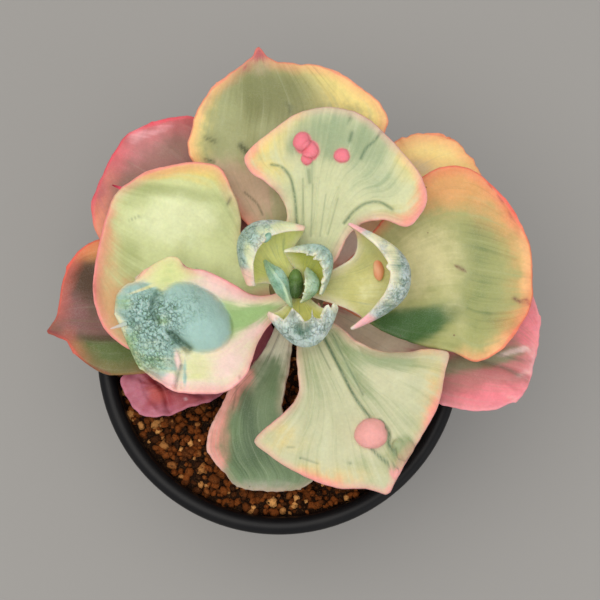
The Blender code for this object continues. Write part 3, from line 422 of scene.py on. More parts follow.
        marks=((WARM, 0.9, 424, 385, 22, 46, 0, 4.0), (WARM, 0.95, 330, 470, 80, 18, 14, 4.4),
               (WARM, 0.45, 285, 438, 24, 20), (GREEN, 0.8, 388, 360, 36, 11, -6),
               (GREEN, 0.65, 350, 368, 11, 56, 32), (GREEN, 0.7, 385, 352, 40, 7, -4),
               (GREEN, 0.35, 318, 372, 14, 34, 20), (GREEN, 0.6, 403, 448, 13, 14, 0, 0, 6),
               (BLUSH, 0.95, 428, 405, 14, 36, 16, 2.6), (BLUSH, 0.95, 322, 476, 80, 14, 16, 2.2),
               (GREEN, 0.3, 360, 462, 26, 10), (BLOOM, 1.0, 370, 433, 16, 15, 0, 0, 14),
               (BLOOM, 1.0, 394, 472, 6, 6), (BLOOM, 0.7, 386, 487, 6, 6),
               (GREEN, 0.35, 392, 460, 16, 18), (GREEN, 0.25, 300, 400, 30, 30)),
        rim_marks=((-0.6, 315, 360, 34, 36), (-0.5, 385, 350, 50, 10), (0.4, 330, 475, 70, 20)),
        knobs=((370, 433, 3.65, 3.4, 0, 3.4), (405, 450, 2.5, 2.1, 30, 1.5),
               (396, 443, 1.3, 1.1, 0, 0.8), (394, 472, 1.3, 1.1, 0, 0.9),
               (398, 460, 1.2, 0.9, 40, 0.7)),
        creases=((0.4, 0.8, 400, 443, 408, 449, 404, 456), (0.35, 0.7, 396, 450, 402, 455, 408, 462),
                 (0.5, 0.5, 322, 335, 340, 370, 356, 400, 368, 418),
                 (0.5, 0.4, 372, 420, 386, 432, 388, 452), (0.4, 0.3, 334, 330, 350, 366, 362, 392),
                 (0.4, 0.25, 350, 332, 362, 356), (0.4, 0.2, 308, 350, 312, 400, 306, 430)),
        ink=((1.4, 0.95, 322, 335, 340, 370, 356, 400, 369, 417),
             (1.0, 0.55, 332, 335, 348, 368, 362, 395), (0.9, 0.5, 314, 338, 330, 370),
             (1.8, 0.9, 378, 420, 387, 430, 388, 445, 396, 452),
             (1.6, 0.85, 370, 447, 380, 457, 396, 468), (1.2, 0.4, 288, 446, 294, 446),
             (1.4, 0.8, 396, 456, 404, 458, 408, 452), (1.2, 0.6, 348, 461, 350, 462),
             (1.0, 0.45, 300, 456, 318, 462)),
        ink_tone=(88, 116, 84)),
    "leaf_back_fan": dict(
        ground=(216, 220, 174), warm=(240, 220, 132), green=(156, 174, 132), blush=(252, 146, 122),
        bloom=(246, 132, 146), rim=(252, 182, 178), under=(176, 190, 150), rim_width=0.7, streaks=0.65,
        powder=0.07, spots=0.4, grid=(170, 120), frill=(0.25, 9.0, 2.5), nibble=(0.05, 5.0, 1.2),
        cap=1.0,
        marks=((GREEN, 0.75, 335, 136, 50, 26), (GREEN, 0.4, 366, 170, 22, 30, -30),
               (WARM, 0.95, 268, 150, 34, 36, 0, 7.0), (WARM, 0.9, 404, 180, 30, 50, -20, 4.0),
               (GREEN, 0.35, 384, 188, 18, 26), (GREEN, 0.45, 372, 146, 24, 22),
               (WARM, 0.6, 292, 118, 30, 12, -20, 4.0), (BLUSH, 0.7, 248, 166, 18, 30, 0, 3.8),
               (BLUSH, 1.0, 422, 210, 20, 40, -15, 3.4), (BLUSH, 0.5, 396, 226, 24, 10),
               (GREEN, 0.3, 392, 214, 12, 8), (BLOOM, 1.0, 303, 144, 9, 11, 0, 0, 8),
               (BLOOM, 1.0, 312, 152, 8, 10, 0, 0, 8), (BLOOM, 1.0, 307, 161, 5, 6, 0, 0, 8),
               # The green patches at (293, 148) and (331, 154), just left of the warts, are painted shadow
               # beside them.
               (BLOOM, 1.0, 342, 157, 8, 8, 0, 0, 8), (GREEN, 0.7, 293, 148, 7, 11),
               (GREEN, 0.5, 331, 154, 6, 8), (GREEN, 0.3, 310, 178, 8, 16)),
        rim_marks=((-0.7, 300, 222, 22, 36), (0.5, 420, 205, 16, 30), (-0.3, 320, 108, 40, 8)),
        knobs=((302, 143, 2.0, 2.2, 0, 2.4), (310, 151, 1.9, 2.1, 20, 2.0),
               (307, 160, 1.3, 1.5, 0, 1.4), (342, 157, 1.75, 1.6, 0, 1.5)),
        creases=((0.5, 0.35, 272, 166, 289, 175, 295, 200, 297, 226),
                 (0.5, 0.35, 344, 225, 355, 212, 367, 205, 380, 204, 392, 211),
                 (0.4, 0.25, 305, 190, 303, 230), (0.4, 0.25, 318, 180, 314, 236),
                 (0.4, 0.25, 338, 190, 326, 236)),
        ink=((1.4, 0.8, 272, 166, 281, 168, 289, 176, 294, 192, 296, 206, 297, 226),
             (1.4, 0.75, 344, 225, 355, 212, 366, 205, 380, 204, 392, 211),
             (1.4, 0.9, 382, 132, 374, 142, 366, 150, 361, 160), (2.0, 0.8, 350, 116, 351, 124),
             (2.2, 0.8, 352, 134, 350, 142), (2.0, 0.5, 309, 172, 310, 184),
             (0.9, 0.45, 303, 180, 304, 234), (0.9, 0.4, 313, 186, 311, 238),
             (0.8, 0.35, 326, 196, 320, 238), (0.8, 0.35, 338, 200, 328, 236)),
        ink_tone=(96, 124, 88)),
    # In the five hooded leaves that follow, under is the inside of the hood, which shows from above: its
    # bright yellow-green is partly the inner face's own colour and partly painted light, the glow through
    # the thin leaf.
    "leaf_right_hooded": dict(
        ground=(204, 220, 214), warm=(246, 244, 196), green=(98, 136, 118), blush=(255, 184, 188),
        bloom=(228, 236, 234), rim=(252, 240, 216), under=(218, 214, 140), rim_width=0.6, streaks=0.5,
        powder=0.1, spots=0.2, soft=0.35, mottling=0.8,
        marks=((WARM, 0.95, 392, 262, 7, 30, 8), (WARM, 0.5, 384, 298, 16, 7, -50),
               (WARM, 0.9, 378, 238, 14, 9, 40), (GREEN, 0.45, 397, 272, 8, 16, 0),
               (GREEN, 0.45, 387, 309, 9, 9), (BLUSH, 1.0, 362, 322, 21, 12, -35),
               (BLUSH, 1.0, 357, 228, 15, 10, 35)),
        mottle=((1.0, 395, 275, 40, 60, 0, 0, 6),),
        rim_marks=((-0.9, 355, 228, 16, 12), (-0.9, 361, 324, 20, 14)),
        back_marks=((GREEN, 0.22, 362, 250, 16, 20), (WARM, 0.5, 372, 300, 16, 22),
                    (BLUSH, 0.5, 355, 232, 10, 8)),
        frill=(0.08, 4.0, 1.5), teeth=((-0.12, 0.05, 0.02),)),
    "leaf_back_left_hooded": dict(
        ground=(180, 206, 192), warm=(230, 236, 180), green=(98, 138, 118), blush=(252, 206, 186),
        bloom=(226, 236, 232), rim=(250, 240, 218), under=(238, 240, 148), rim_width=0.6, streaks=0.6,
        powder=0.1, spots=0.2, soft=0.35, mottling=0.7,
        marks=((BLUSH, 1.0, 247, 281, 10, 13), (WARM, 0.9, 252, 262, 6, 18, 15),
               (BLUSH, 0.9, 304, 228, 8, 9), (WARM, 0.95, 286, 229, 18, 8),
               (BLOOM, 0.6, 268, 222, 16, 5, 8), (WARM, 0.5, 265, 234, 12, 6, -30)),
        mottle=((1.0, 250, 240, 40, 60, 0, 0, 6),),
        rim_marks=((-0.8, 247, 283, 12, 12), (-0.7, 303, 229, 10, 8)),
        back_marks=((GREEN, 0.2, 270, 250, 20, 20),), frill=(0.06, 4.0, 1.5), teeth=()),
    "leaf_back_right_frilled": dict(
        ground=(176, 210, 200), warm=(240, 242, 206), green=(104, 146, 126), blush=(240, 214, 186),
        bloom=(220, 236, 232), rim=(252, 248, 220), under=(206, 208, 88), rim_width=0.7, streaks=0.6,
        powder=0.12, spots=0.1, soft=0.35, mottling=0.6,
        marks=((WARM, 0.8, 286, 250, 8, 6), (WARM, 0.4, 300, 246, 14, 6)),
        mottle=((1.0, 310, 260, 40, 40, 0, 0, 6),), back_marks=((GREEN, 0.25, 312, 266, 10, 10),),
        frill=(0.12, 2.4, 1.0),
        teeth=((-0.42, 0.04, 0.03), (-0.28, 0.03, -0.04), (-0.14, 0.04, 0.03), (0.0, 0.04, -0.03),
               (0.72, 0.04, 0.05))),
    "leaf_front_frilled": dict(
        ground=(212, 232, 226), warm=(240, 240, 208), green=(86, 124, 104), blush=(252, 206, 194),
        bloom=(228, 238, 236), rim=(250, 246, 222), under=(222, 220, 118), rim_width=0.6, streaks=0.9,
        powder=0.1, spots=0.1, soft=0.35, mottling=0.7,
        marks=((BLUSH, 1.0, 271, 315, 10, 8), (WARM, 0.7, 333, 306, 8, 8),
               (GREEN, 0.9, 303, 329, 10, 9), (GREEN, 0.8, 293, 316, 5, 5),
               (BLOOM, 0.5, 322, 330, 12, 12)),
        mottle=((1.0, 303, 326, 40, 30, 0, 0, 6),), rim_marks=((-0.6, 268, 313, 8, 6),),
        back_marks=((GREEN, 0.2, 300, 300, 16, 10),), frill=(0.12, 2.4, 1.0),
        teeth=((-0.93, 0.035, 0.07), (-0.70, 0.10, 0.08), (-0.42, 0.10, -0.03), (-0.2, 0.03, 0.08),
               (0.02, 0.12, -0.03), (0.34, 0.15, 0.11), (0.64, 0.10, -0.04))),
    "leaf_heart_right": dict(
        ground=(164, 206, 170), warm=(224, 230, 176), green=(112, 152, 104), blush=(220, 214, 170),
        bloom=(196, 222, 204), rim=(246, 246, 212), under=(156, 176, 76), rim_width=0.6, streaks=0.5,
        powder=0.1, spots=0.0, soft=0.35, mottling=0.35, marks=((BLOOM, 0.5, 314, 284, 6, 12),),
        back_marks=((GREEN, 0.5, 308, 280, 8, 12),), mottle=((1.0, 310, 285, 20, 30, 0, 0, 6),),
        ink=((2.4, 1.0, 303, 272, 304, 277),), ink_tone=(70, 88, 30), frill=(0.08, 2.4, 1.0),
        teeth=((0.45, 0.05, 0.04), (-0.25, 0.05, 0.03))),
    "leaf_heart_left": dict(
        ground=(132, 178, 148), warm=(212, 236, 198), green=(104, 150, 118), blush=(186, 206, 166),
        bloom=(186, 222, 208), rim=(206, 230, 200), under=(130, 156, 90), rim_width=0.4, streaks=0.4,
        powder=0.1, spots=0.0, grid=(80, 48), roundness=0.9, mottling=0.3,
        marks=((GREEN, 0.4, 268, 286, 6, 18, 25), (BLOOM, 0.6, 281, 276, 7, 14),
               (WARM, 0.9, 291, 303, 5, 6), (WARM, 0.7, 276, 276, 2, 12, 38),
               (WARM, 0.8, 286, 292, 2, 12, 22)),
        mottle=((1.0, 278, 280, 30, 40, 0, 0, 6),),
        creases=((0.22, -0.3, 264, 260, 275, 274, 285, 288, 291, 306),),
        ink=((1.2, 0.0, 264, 260, 291, 306),), frill=(0.05, 3.0, 1.0), nibble=(0.03, 3.0, 1.0)),
}
BUD_LOOK = dict(
    ground=(104, 138, 66), warm=(140, 160, 80), green=(56, 88, 34), blush=(140, 160, 80),
    bloom=(120, 150, 90), rim=(120, 150, 90), under=(96, 130, 62), rim_width=0.3, streaks=0.4,
    powder=0.08, spots=0.0)

# Thorns at leaf tips: the leaf, the view's pixels of foot and point, height over the rim, radius,
# colours at foot and point
THORNS = {
    "thorn_of_cupped_leaf": (
        "leaf_left_cupped", (122.5, 190), (113, 186.5), 20.5, 0.40, (222, 80, 100), (150, 24, 50)),
    "thorn_of_caruncled_leaf": (
        "leaf_left_caruncled", (128, 325), (113, 330), 26.3, 0.48, (166, 190, 176), (222, 196, 186)),
}

# Warts of their own: the leaf, the view's pixel, height over the rim, radii in mm, turn, two colours
BEADS = {
    "wart_of_right_hooded_leaf": (
        "leaf_right_hooded", (378, 271.5), 20.9, (1.35, 2.8, 1.2), 4, (244, 190, 150), (228, 142, 106)),
    "bead_of_back_left_hooded_leaf": (
        "leaf_back_left_hooded", (267.5, 239), 29.8, (1.5, 0.95, 0.9), 52, (186, 216, 200),
        (112, 156, 130)),
}


def on_rim_plane(view):
    """Pixels of the view as mm on the rim's plane: x to the right, y away from the viewer."""
    view = np.asarray(view, float)
    return (view - VIEW_ZERO) * (1, -1) / VIEW_SCALE


def in_view(place):
    """The reverse of on_rim_plane."""
    return np.asarray(place) * (VIEW_SCALE, -VIEW_SCALE) + VIEW_ZERO


def lifted(x, y, h):
    """The point at height h over the rim that shows at (x, y) on the rim's plane from EYE.

    It lies h / (eye height over the rim) of the way from (x, y) to the point under the eye.
    """
    share = h / (EYE[2] - POT_HEIGHT)
    y = y + VIEW_SHIFT
    return np.stack([x + (EYE[0] - x) * share, y + (EYE[1] - y) * share, POT_HEIGHT + h], -1)


def smooth(knots, places):
    """Points of a smooth curve through knots, at places from 0 to 1 of the way along it, any shape.

    Cubic Hermite between knots, each slope taken from the two neighbours.
    """
    knots = np.asarray(knots, float)
    if knots.ndim == 1:
        along = np.linspace(0, 1, len(knots))
        knots = knots[:, None]
    else:
        along = np.concatenate([[0], np.cumsum(np.linalg.norm(np.diff(knots, axis=0), axis=1))])
        along /= along[-1]
    slopes = np.gradient(knots, along, axis=0)
    places = np.asarray(places, float)
    k = np.clip(np.searchsorted(along, places, "right") - 1, 0, len(along) - 2)
    span = (along[k + 1] - along[k])[..., None]
    f = (places - along[k])[..., None] / span
    return (knots[k] * (2 * f**3 - 3 * f**2 + 1) + knots[k + 1] * (3 * f**2 - 2 * f**3)
            + slopes[k] * span * (f**3 - 2 * f**2 + f) + slopes[k + 1] * span * (f**3 - f**2))


def thickness(shape, u, t):
    """Leaf thickness: thick at the base, thinner along the blade, thinnest at the margin."""
    base, middle, margin = shape["thick"]
    core = middle + (base - middle) * (1 - u) ** 2
    return margin + (core - margin) * (1 - t**4) * (1 - u**8)


def waver(along, length, seed):
    """An uneven wave between about -1 and 1: three sines with lengths of 1, 0.62 and 0.37 of length."""
    phases = np.random.default_rng(seed).uniform(0, 2 * pi, 3)
    return sum(size * np.sin(2 * pi * along / (length * part) + phase)
               for size, part, phase in zip((0.5, 0.3, 0.25), (1, 0.62, 0.37), phases))


def swell(places, length, seed):
    """Smooth unevenness between about -1 and 1: seven sines of the last axis in random directions."""
    rng = np.random.default_rng(seed)
    ways = rng.normal(size=(7, places.shape[-1]))
    ways *= rng.uniform(0.6, 1.7, 7)[:, None] / np.linalg.norm(ways, axis=1)[:, None]
    return np.sin(places @ ways.T * (2 * pi / length) + rng.uniform(0, 2 * pi, 7)).sum(-1) / 3.5


def from_margin(places, border):
    """How far each place lies from a line, how far along the line its nearest point is, and the line's
    left-hand side there. Each place is dropped onto every segment and the nearest foot is kept."""
    step = np.diff(border, axis=0)
    length = np.maximum(np.linalg.norm(step, axis=1), 1e-9)
    start = np.concatenate([[0], np.cumsum(length)[:-1]])
    side = np.stack([-step[:, 1], step[:, 0]], -1) / length[:, None]
    flat = places.reshape(-1, places.shape[-1])
    found = []
    for some in np.array_split(flat, len(flat) // 1500 + 1):
        away = some[:, None] - border[None, :-1]
        share = np.clip((away * step).sum(-1) / length**2, 0, 1)
        gap = np.linalg.norm(away - share[..., None] * step, axis=-1)
        k = gap.argmin(1)
        pick = np.arange(len(some)), k
        found.append(np.column_stack([gap[pick], start[k] + share[pick] * length[k], side[k]]))
    found = np.concatenate(found).reshape(*places.shape[:-1], 4)
    return found[..., 0], found[..., 1], found[..., 2:]


def eased(grid):
    """A grid averaged once with its neighbours both ways, by quarters and halves."""
    for axis in (0, 1):
        grid = np.moveaxis(grid, axis, 0)
        padded = np.concatenate([grid[:1], grid, grid[-1:]])
        grid = np.moveaxis((padded[:-2] + 2 * grid + padded[2:]) / 4, 0, axis)
    return grid


def facing(points, rounds=2):
    """Unit normals of a grid of points: its steps across crossed with its steps along, then eased."""
    normal = np.cross(np.gradient(points, axis=1), np.gradient(points, axis=0))
    for _ in range(rounds):
        normal = eased(normal)
    return normal / np.maximum(np.linalg.norm(normal, axis=-1, keepdims=True), 1e-9)


def margin_steps(count, close=(0, 0.004, 0.012, 0.026, 0.05)):
    """Places from -1 to 1 across a leaf: even in the middle, crowded at both margins."""
    middle = np.linspace(close[-1] - 1, 1 - close[-1], count - 2 * len(close) + 2)[1:-1]
    return np.concatenate([np.array(close) - 1, middle, 1 - np.array(close)[::-1]])


def tip_steps(count, close=(0.03, 0.014, 0.005, 0)):
    """Places from 0 to 1 along a leaf: even, and crowded at the tip."""
    return np.concatenate([np.linspace(0, 1 - 2 * close[0], count - len(close)), 1 - np.array(close)])


def open_leaf(shape, u, t, cap_share=CAP_SHARE):
    """Places of an open leaf on the rim's plane and their heights, on rows u by columns t.

    The rows go as far as the last place where the leaf is cap_share of its widest. The outline beyond,
    its cap, is the last row, its points evenly apart. A row is the line between its ends, bowed
    towards the tip by bow times one minus t squared, plus u cubed times the way from the cap's row to
    the cap. Height is the midline's rise, plus cup times t squared, plus tilt times t, plus waves.
    """
    fine = np.linspace(0, 1, 801)
    ends = smooth(shape["rows"], fine)
    width = np.linalg.norm(ends[:, 2:] - ends[:, :2], axis=1)
    last = fine[np.nonzero(width >= cap_share * width.max())[0][-1]]
    beyond = smooth(shape["rows"], np.linspace(last, 1, 200))
    cap = np.concatenate([beyond[:, :2], beyond[::-1, 2:]])
    gone = np.concatenate([[0], np.cumsum(np.linalg.norm(np.diff(cap, axis=0), axis=1))])
    cap = np.stack([np.interp((t + 1) / 2 * gone[-1], gone, axis) for axis in cap.T], -1)

    def rows(u):
        ends = smooth(shape["rows"], u)
        left, right = ends[:, None, :2], ends[:, None, 2:]
        chord = right - left
        half = np.linalg.norm(chord, axis=-1) / 2
        tipward = np.stack([-chord[..., 1], chord[..., 0]], -1) / (2 * half[..., None])
        bow = smooth(shape.get("bow", (0, 0)), u)[..., None]
        return (left + right) / 2 + chord / 2 * t[:, None] + tipward * bow * (1 - t[:, None] ** 2), half

    place, half = rows(u * last)
    place = place + u[:, None, None] ** 3 * (cap - rows(np.array([last]))[0])
    height, count, phase = shape["wave"]
    wave = height * np.sin(2 * pi * count * u[:, None] + phase + 1.3 * (t > 0)) * t**4
    return place, (smooth(shape["rise"], u) + smooth(shape["cup"], u) * half * t**2
                   + smooth(shape["tilt"], u) * half * t + wave * np.sin(pi * u[:, None]))


def hooded_leaf(shape, teeth, u, t):
    """Seen places and heights of a hooded leaf's outer face, on rows u by columns t.

    Each row is an arc: middle, plus t times half the chord, plus |t| to the power bend times the way
    from the middle to the chord's centre. The last rows are ruffled by a sine of t, and each tooth
    carries them on by its length times e to the minus (|t - place| / width) cubed.
    """
    t = np.broadcast_to(t, (len(u), len(t)))
    reach = np.zeros(t.shape)
    for place, width, length in teeth:
        reach = reach + length * np.exp(-((abs(t - place) / width) ** 3))
    rows = smooth(shape["rows"], u[:, None] * (1 + reach * u[:, None] ** 3))
    left, middle, right = rows[..., :3], rows[..., 3:6], rows[..., 6:]
    t = t[..., None]
    bend = smooth(shape.get("bend", (2.2, 2.2)), u)[:, :, None]
    seen = middle + t * (right - left) / 2 + abs(t) ** bend * ((left + right) / 2 - middle)
    height, count = shape["ruffle"]
    ruffle = height * np.sin(pi * count * t[..., 0]) * u[:, None] ** 6 * (1 - t[..., 0] ** 4)
    return seen[..., :2], seen[..., 2] + ruffle


def turned_axes(turn):
    """Two unit vectors turned anticlockwise by turn degrees, one a row."""
    a = radians(turn)
    return np.array([[cos(a), sin(a)], [-sin(a), cos(a)]])


def knobbed(place, h, knobs):
    """Raises warts on a leaf. Inside a wart's ellipse, a place r of the way out goes to the angle
    r times 112 degrees on a ball that stands on the leaf, so the wart overhangs its foot."""
    for x, y, long, short, turn, height in knobs:
        centre = on_rim_plane((x, y))
        axes = turned_axes(turn)
        out = (place - centre) @ axes.T / (long, short)
        uneven = 1 + 0.10 * swell(out, 1.6, 7)
        r = np.linalg.norm(out, axis=-1) * uneven
        angle = np.minimum(r, 1) * WART_LEAN
        spread = np.sin(angle) / sin(WART_LEAN) / np.maximum(r, 1e-6)
        moved = centre + (out * spread[..., None] * (long, short)) @ axes
        place = np.where((r < 1)[..., None], moved, place)
        h = h + height * (np.cos(angle) - cos(WART_LEAN)) / (1 - cos(WART_LEAN))
    return place, h


def domed(place, h, domes):
    """Raises a mass of merged domes: the fourth root of the sum of their fourth powers, where a dome
    is its height times one minus r squared to the power 0.7."""
    total = np.zeros(h.shape)
    for x, y, long, short, turn, height in domes:
        out = (place - on_rim_plane((x, y))) @ turned_axes(turn).T / (long, short)
        total += (height * np.clip(1 - (out**2).sum(-1), 0, 1) ** 0.7) ** 4
    return h + total**0.25


def curved(line):
    """A smooth line of many points through a few given one after the other."""
    return smooth(np.reshape(line, (-1, 2)), np.linspace(0, 1, 3 * len(line) - 4))


def wrinkles(points, length, seed):
    """Winding cracks: e to the minus (swell / 0.16) squared, which is 1 along the lines where a swell is
    zero, the points first pushed about by three wider swells."""
    push = np.stack([swell(points, 2.6 * length, seed + k) for k in (1, 2, 3)], -1)
    return np.exp(-((swell(points + 0.35 * length * push, length, seed) / 0.16) ** 2))


def creased(place, h, creases):
    """Presses grooves into a leaf, or raises ridges where depth is negative: depth times e to the
    minus (distance from the line / width) squared."""
    for width, depth, *line in creases:
        gap = from_margin(place, on_rim_plane(curved(line)))[0]
        h = h - depth * np.exp(-((gap / width) ** 2))
    return h


def patch(view, margin, strength, x, y, rx, ry, turn=0, band=0, hardness=3):
    """A soft patch on a leaf: strength times e to the minus r to the power hardness, where r is the
    distance from (x, y) as a share of the radii, in view pixels. With a band in mm it also fades in
    from the margin, as e to the minus (margin / band) to the power 1.5."""
    away = (view - (x, y)) @ turned_axes(turn)
    r = np.linalg.norm(away / (rx, ry), axis=-1)
    shown = strength * np.exp(-(r**hardness))
    return shown * np.exp(-((margin / band) ** 1.5)) if band else shown


def patched(view, margin, marks):
    """The leaf's four colour masks: for each, one minus the product of one minus its patches. A patch
    with a negative strength takes that share of the mask away again."""
    masks = np.zeros(margin.shape + (4,))
    for channel, *mark in marks:
        shown = patch(view, margin, *mark)
        mask = masks[..., channel]
        added = 1 - (1 - mask) * (1 - np.clip(shown, 0, 1))
        masks[..., channel] = np.where(shown > 0, added, mask * (1 + shown))
    return masks


def summed(view, margin, marks, start):
    """Patches added up on top of a start value."""
    total = np.full(margin.shape, float(start))
    for mark in marks:
        total += patch(view, margin, *mark)
    return total


def inked(view, lines):
    """The mask of a leaf's fine dark lines: strength times e to the minus (distance / width) squared."""
    mask = np.zeros(view.shape[:-1])
    for width, strength, *line in lines:
        gap = from_margin(view, curved(line))[0]
        mask = np.maximum(mask, strength * np.exp(-((gap / width) ** 2)))
    return mask


def piece(name, points, faces, material, values=None, colours=None, uv=None):
    """A smooth-shaded mesh object of the whole array of points in mm, riding on the body."""
    mesh = bpy.data.meshes.new(name)
    mesh.from_pydata((points * MM).tolist(), [], faces if isinstance(faces, list) else faces.tolist())
    mesh.polygons.foreach_set("use_smooth", np.ones(len(mesh.polygons), bool))
    for key, value in (values or {}).items():
        mesh.attributes.new(key, "FLOAT", "POINT").data.foreach_set("value", value.astype(np.float32))
    for key, value in (colours or {}).items():
        held = mesh.attributes.new(key, "FLOAT_COLOR", "POINT").data
        held.foreach_set("color", value.astype(np.float32).ravel())
    if uv is not None:
        corners = np.empty(len(mesh.loops), np.int32)
        mesh.loops.foreach_get("vertex_index", corners)
        mesh.uv_layers.new(name="blade").data.foreach_set("uv", uv[corners].astype(np.float32).ravel())
    mesh.materials.append(material)
    mesh.validate()
    made = bpy.data.objects.new(name, mesh)
    bpy.context.scene.collection.objects.link(made)
    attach(made, "root")
    return made


def stands_for(made, node):
    """Hides the frame's node of that name, for the piece to replace it."""
    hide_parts(node)


def closed_faces(rows, columns, outward):
    """Faces of a shell whose two grids share their border; its points are those of shell_values."""
    seen = np.arange(rows * columns).reshape(rows, columns)
    hidden = seen.copy()
    hidden[1:-1, 1:-1] = rows * columns + np.arange((rows - 2) * (columns - 2)).reshape(rows - 2, -1)
    quads = []
    for grid, turned in ((seen, not outward), (hidden, outward)):
        quad = np.stack([grid[:-1, :-1], grid[:-1, 1:], grid[1:, 1:], grid[1:, :-1]], -1).reshape(-1, 4)
        quads.append(quad[:, ::-1] if turned else quad)
    return np.concatenate(quads)


def shell_values(seen, hidden):
    """Joins the values of two grids in the order that closed_faces counts their points."""
    inner = hidden[1:-1, 1:-1]
    return np.concatenate([seen.reshape(-1, *seen.shape[2:]), inner.reshape(-1, *inner.shape[2:])])


def leaf_shell(name, shape, look, place, h, margin, u, t, outward):
    """The closed leaf: seen face, hidden face and a round margin.

    The middle surface lies half the thickness under the seen one. Both faces stand off it by half the
    thickness times the quarter circle of the margin's distance. Relief is added to the seen face alone.
    """
    plain = lifted(place[..., 0], place[..., 1], h)
    normal = facing(plain) * (1 if outward else -1)
    thick = thickness(shape, u[:, None], t[None, :])
    edge = 1 - np.clip(margin / (thick * look.get("roundness", 0.6)), 0, 1)
    stand_off = thick / 2 * np.sqrt(1 - edge**2)
    middle = plain - normal * (thick / 2)[..., None]
    flat = 1 - np.exp(-((margin / 1.5) ** 2))
    relief = look.get("relief", 0.25) * swell(plain, 13, 3) * flat
    raised, top = knobbed(place, h + relief, look.get("knobs", ()))
    top = domed(raised, top, look.get("domes", ()))
    top = creased(raised, top, look.get("creases", ()))
    view = in_view(place)
    rough = np.clip(summed(view, margin, look.get("mottle", ()), 0), 0, 1)
    cracks = wrinkles(plain, 2.5, 5) * rough if "grit" in look else np.zeros(h.shape)
    top -= look.get("grit", 0) * cracks * flat
    relief = lifted(raised[..., 0], raised[..., 1], top) - plain
    seen = middle + normal * stand_off[..., None] + relief * np.minimum(margin / 0.8, 1)[..., None]
    hidden = middle - normal * stand_off[..., None]
    masks = shell_values(patched(view, margin, look["marks"]),
                         patched(view, margin, look.get("back_marks", BACK_MARKS)))
    face = shell_values(np.ones(h.shape), np.zeros(h.shape))
    face = np.where(shell_values(stand_off, stand_off) == 0, 0.5, face)
    rim = np.clip(summed(view, margin, look.get("rim_marks", ()), look.get("rim_share", 1)), 0, 1.5)
    ink = shell_values(np.maximum(inked(view, look.get("ink", ())), 0.4 * cracks), np.zeros(h.shape))
    mottle = shell_values(rough, np.zeros(h.shape)) * (1 - masks[:, WARM]) * (1 - masks[:, BLUSH])
    across = np.broadcast_to((t[None, :] + 1) / 2, h.shape)
    along = np.broadcast_to(u[:, None], h.shape)
    uv = np.stack([across, along], -1)
    values = {"margin": shell_values(margin, margin), "face": face, "ink": ink, "mottle": mottle,
              "rim": shell_values(rim, rim)}
    made = piece(name + "_skin", shell_values(seen, hidden), closed_faces(*h.shape, outward),
                 leaf_material(name, look), values, {"flush": masks}, shell_values(uv, uv))
    stands_for(made, name)


def make_open_leaf(name, shape, look, seed):
    """An open leaf with its crinkled, nibbled margin."""
    rows, columns = look.get("grid", (100, 76))
    u, t = tip_steps(rows), margin_steps(columns)
    place, h = open_leaf(shape, u, t, look.get("cap", CAP_SHARE))
    border = np.concatenate([place[:, 0], place[-1, 1:-1], place[::-1, -1]])
    margin, along, side = from_margin(place, border)
    grown = np.clip(u[:, None] * 4 - 0.4, 0, 1)
    depth, length, reach = look["nibble"]
    place = place + side * (depth * waver(along, length, seed) * np.exp(-margin / reach) * grown)[..., None]
    height, length, reach = look["frill"]
    h = h + height * waver(along, length, seed + 50) * np.exp(-margin / reach) * grown
    leaf_shell(name, shape, look, place, h, margin, u, t, True)


def make_hooded_leaf(name, shape, look, seed):
    """A hooded leaf, its margin distance measured in space, because it rolls over itself."""
    u, t = tip_steps(80), margin_steps(90)
    place, h = hooded_leaf(shape, look["teeth"], u, t)
    points = lifted(place[..., 0], place[..., 1], h)
    border = np.concatenate([points[:, 0], points[-1, 1:-1], points[::-1, -1]])
    margin, along, _ = from_margin(points, border)
    height, length, reach = look["frill"]
    grown = np.clip(u[:, None] * 3 - 1, 0, 1)
    h = h + height * waver(along, length, seed) * np.exp(-margin / reach) * grown
    leaf_shell(name, shape, look, place, h, margin, u, t, False)


def tone(red, green, blue):
    """A colour given as 0 to 255 on a screen, as linear light for a socket."""
    share = np.array([red, green, blue]) / 255
    linear = np.where(share <= 0.04045, share / 12.92, ((share + 0.055) / 1.055) ** 2.4)
    return (*(float(value) for value in linear), 1.0)


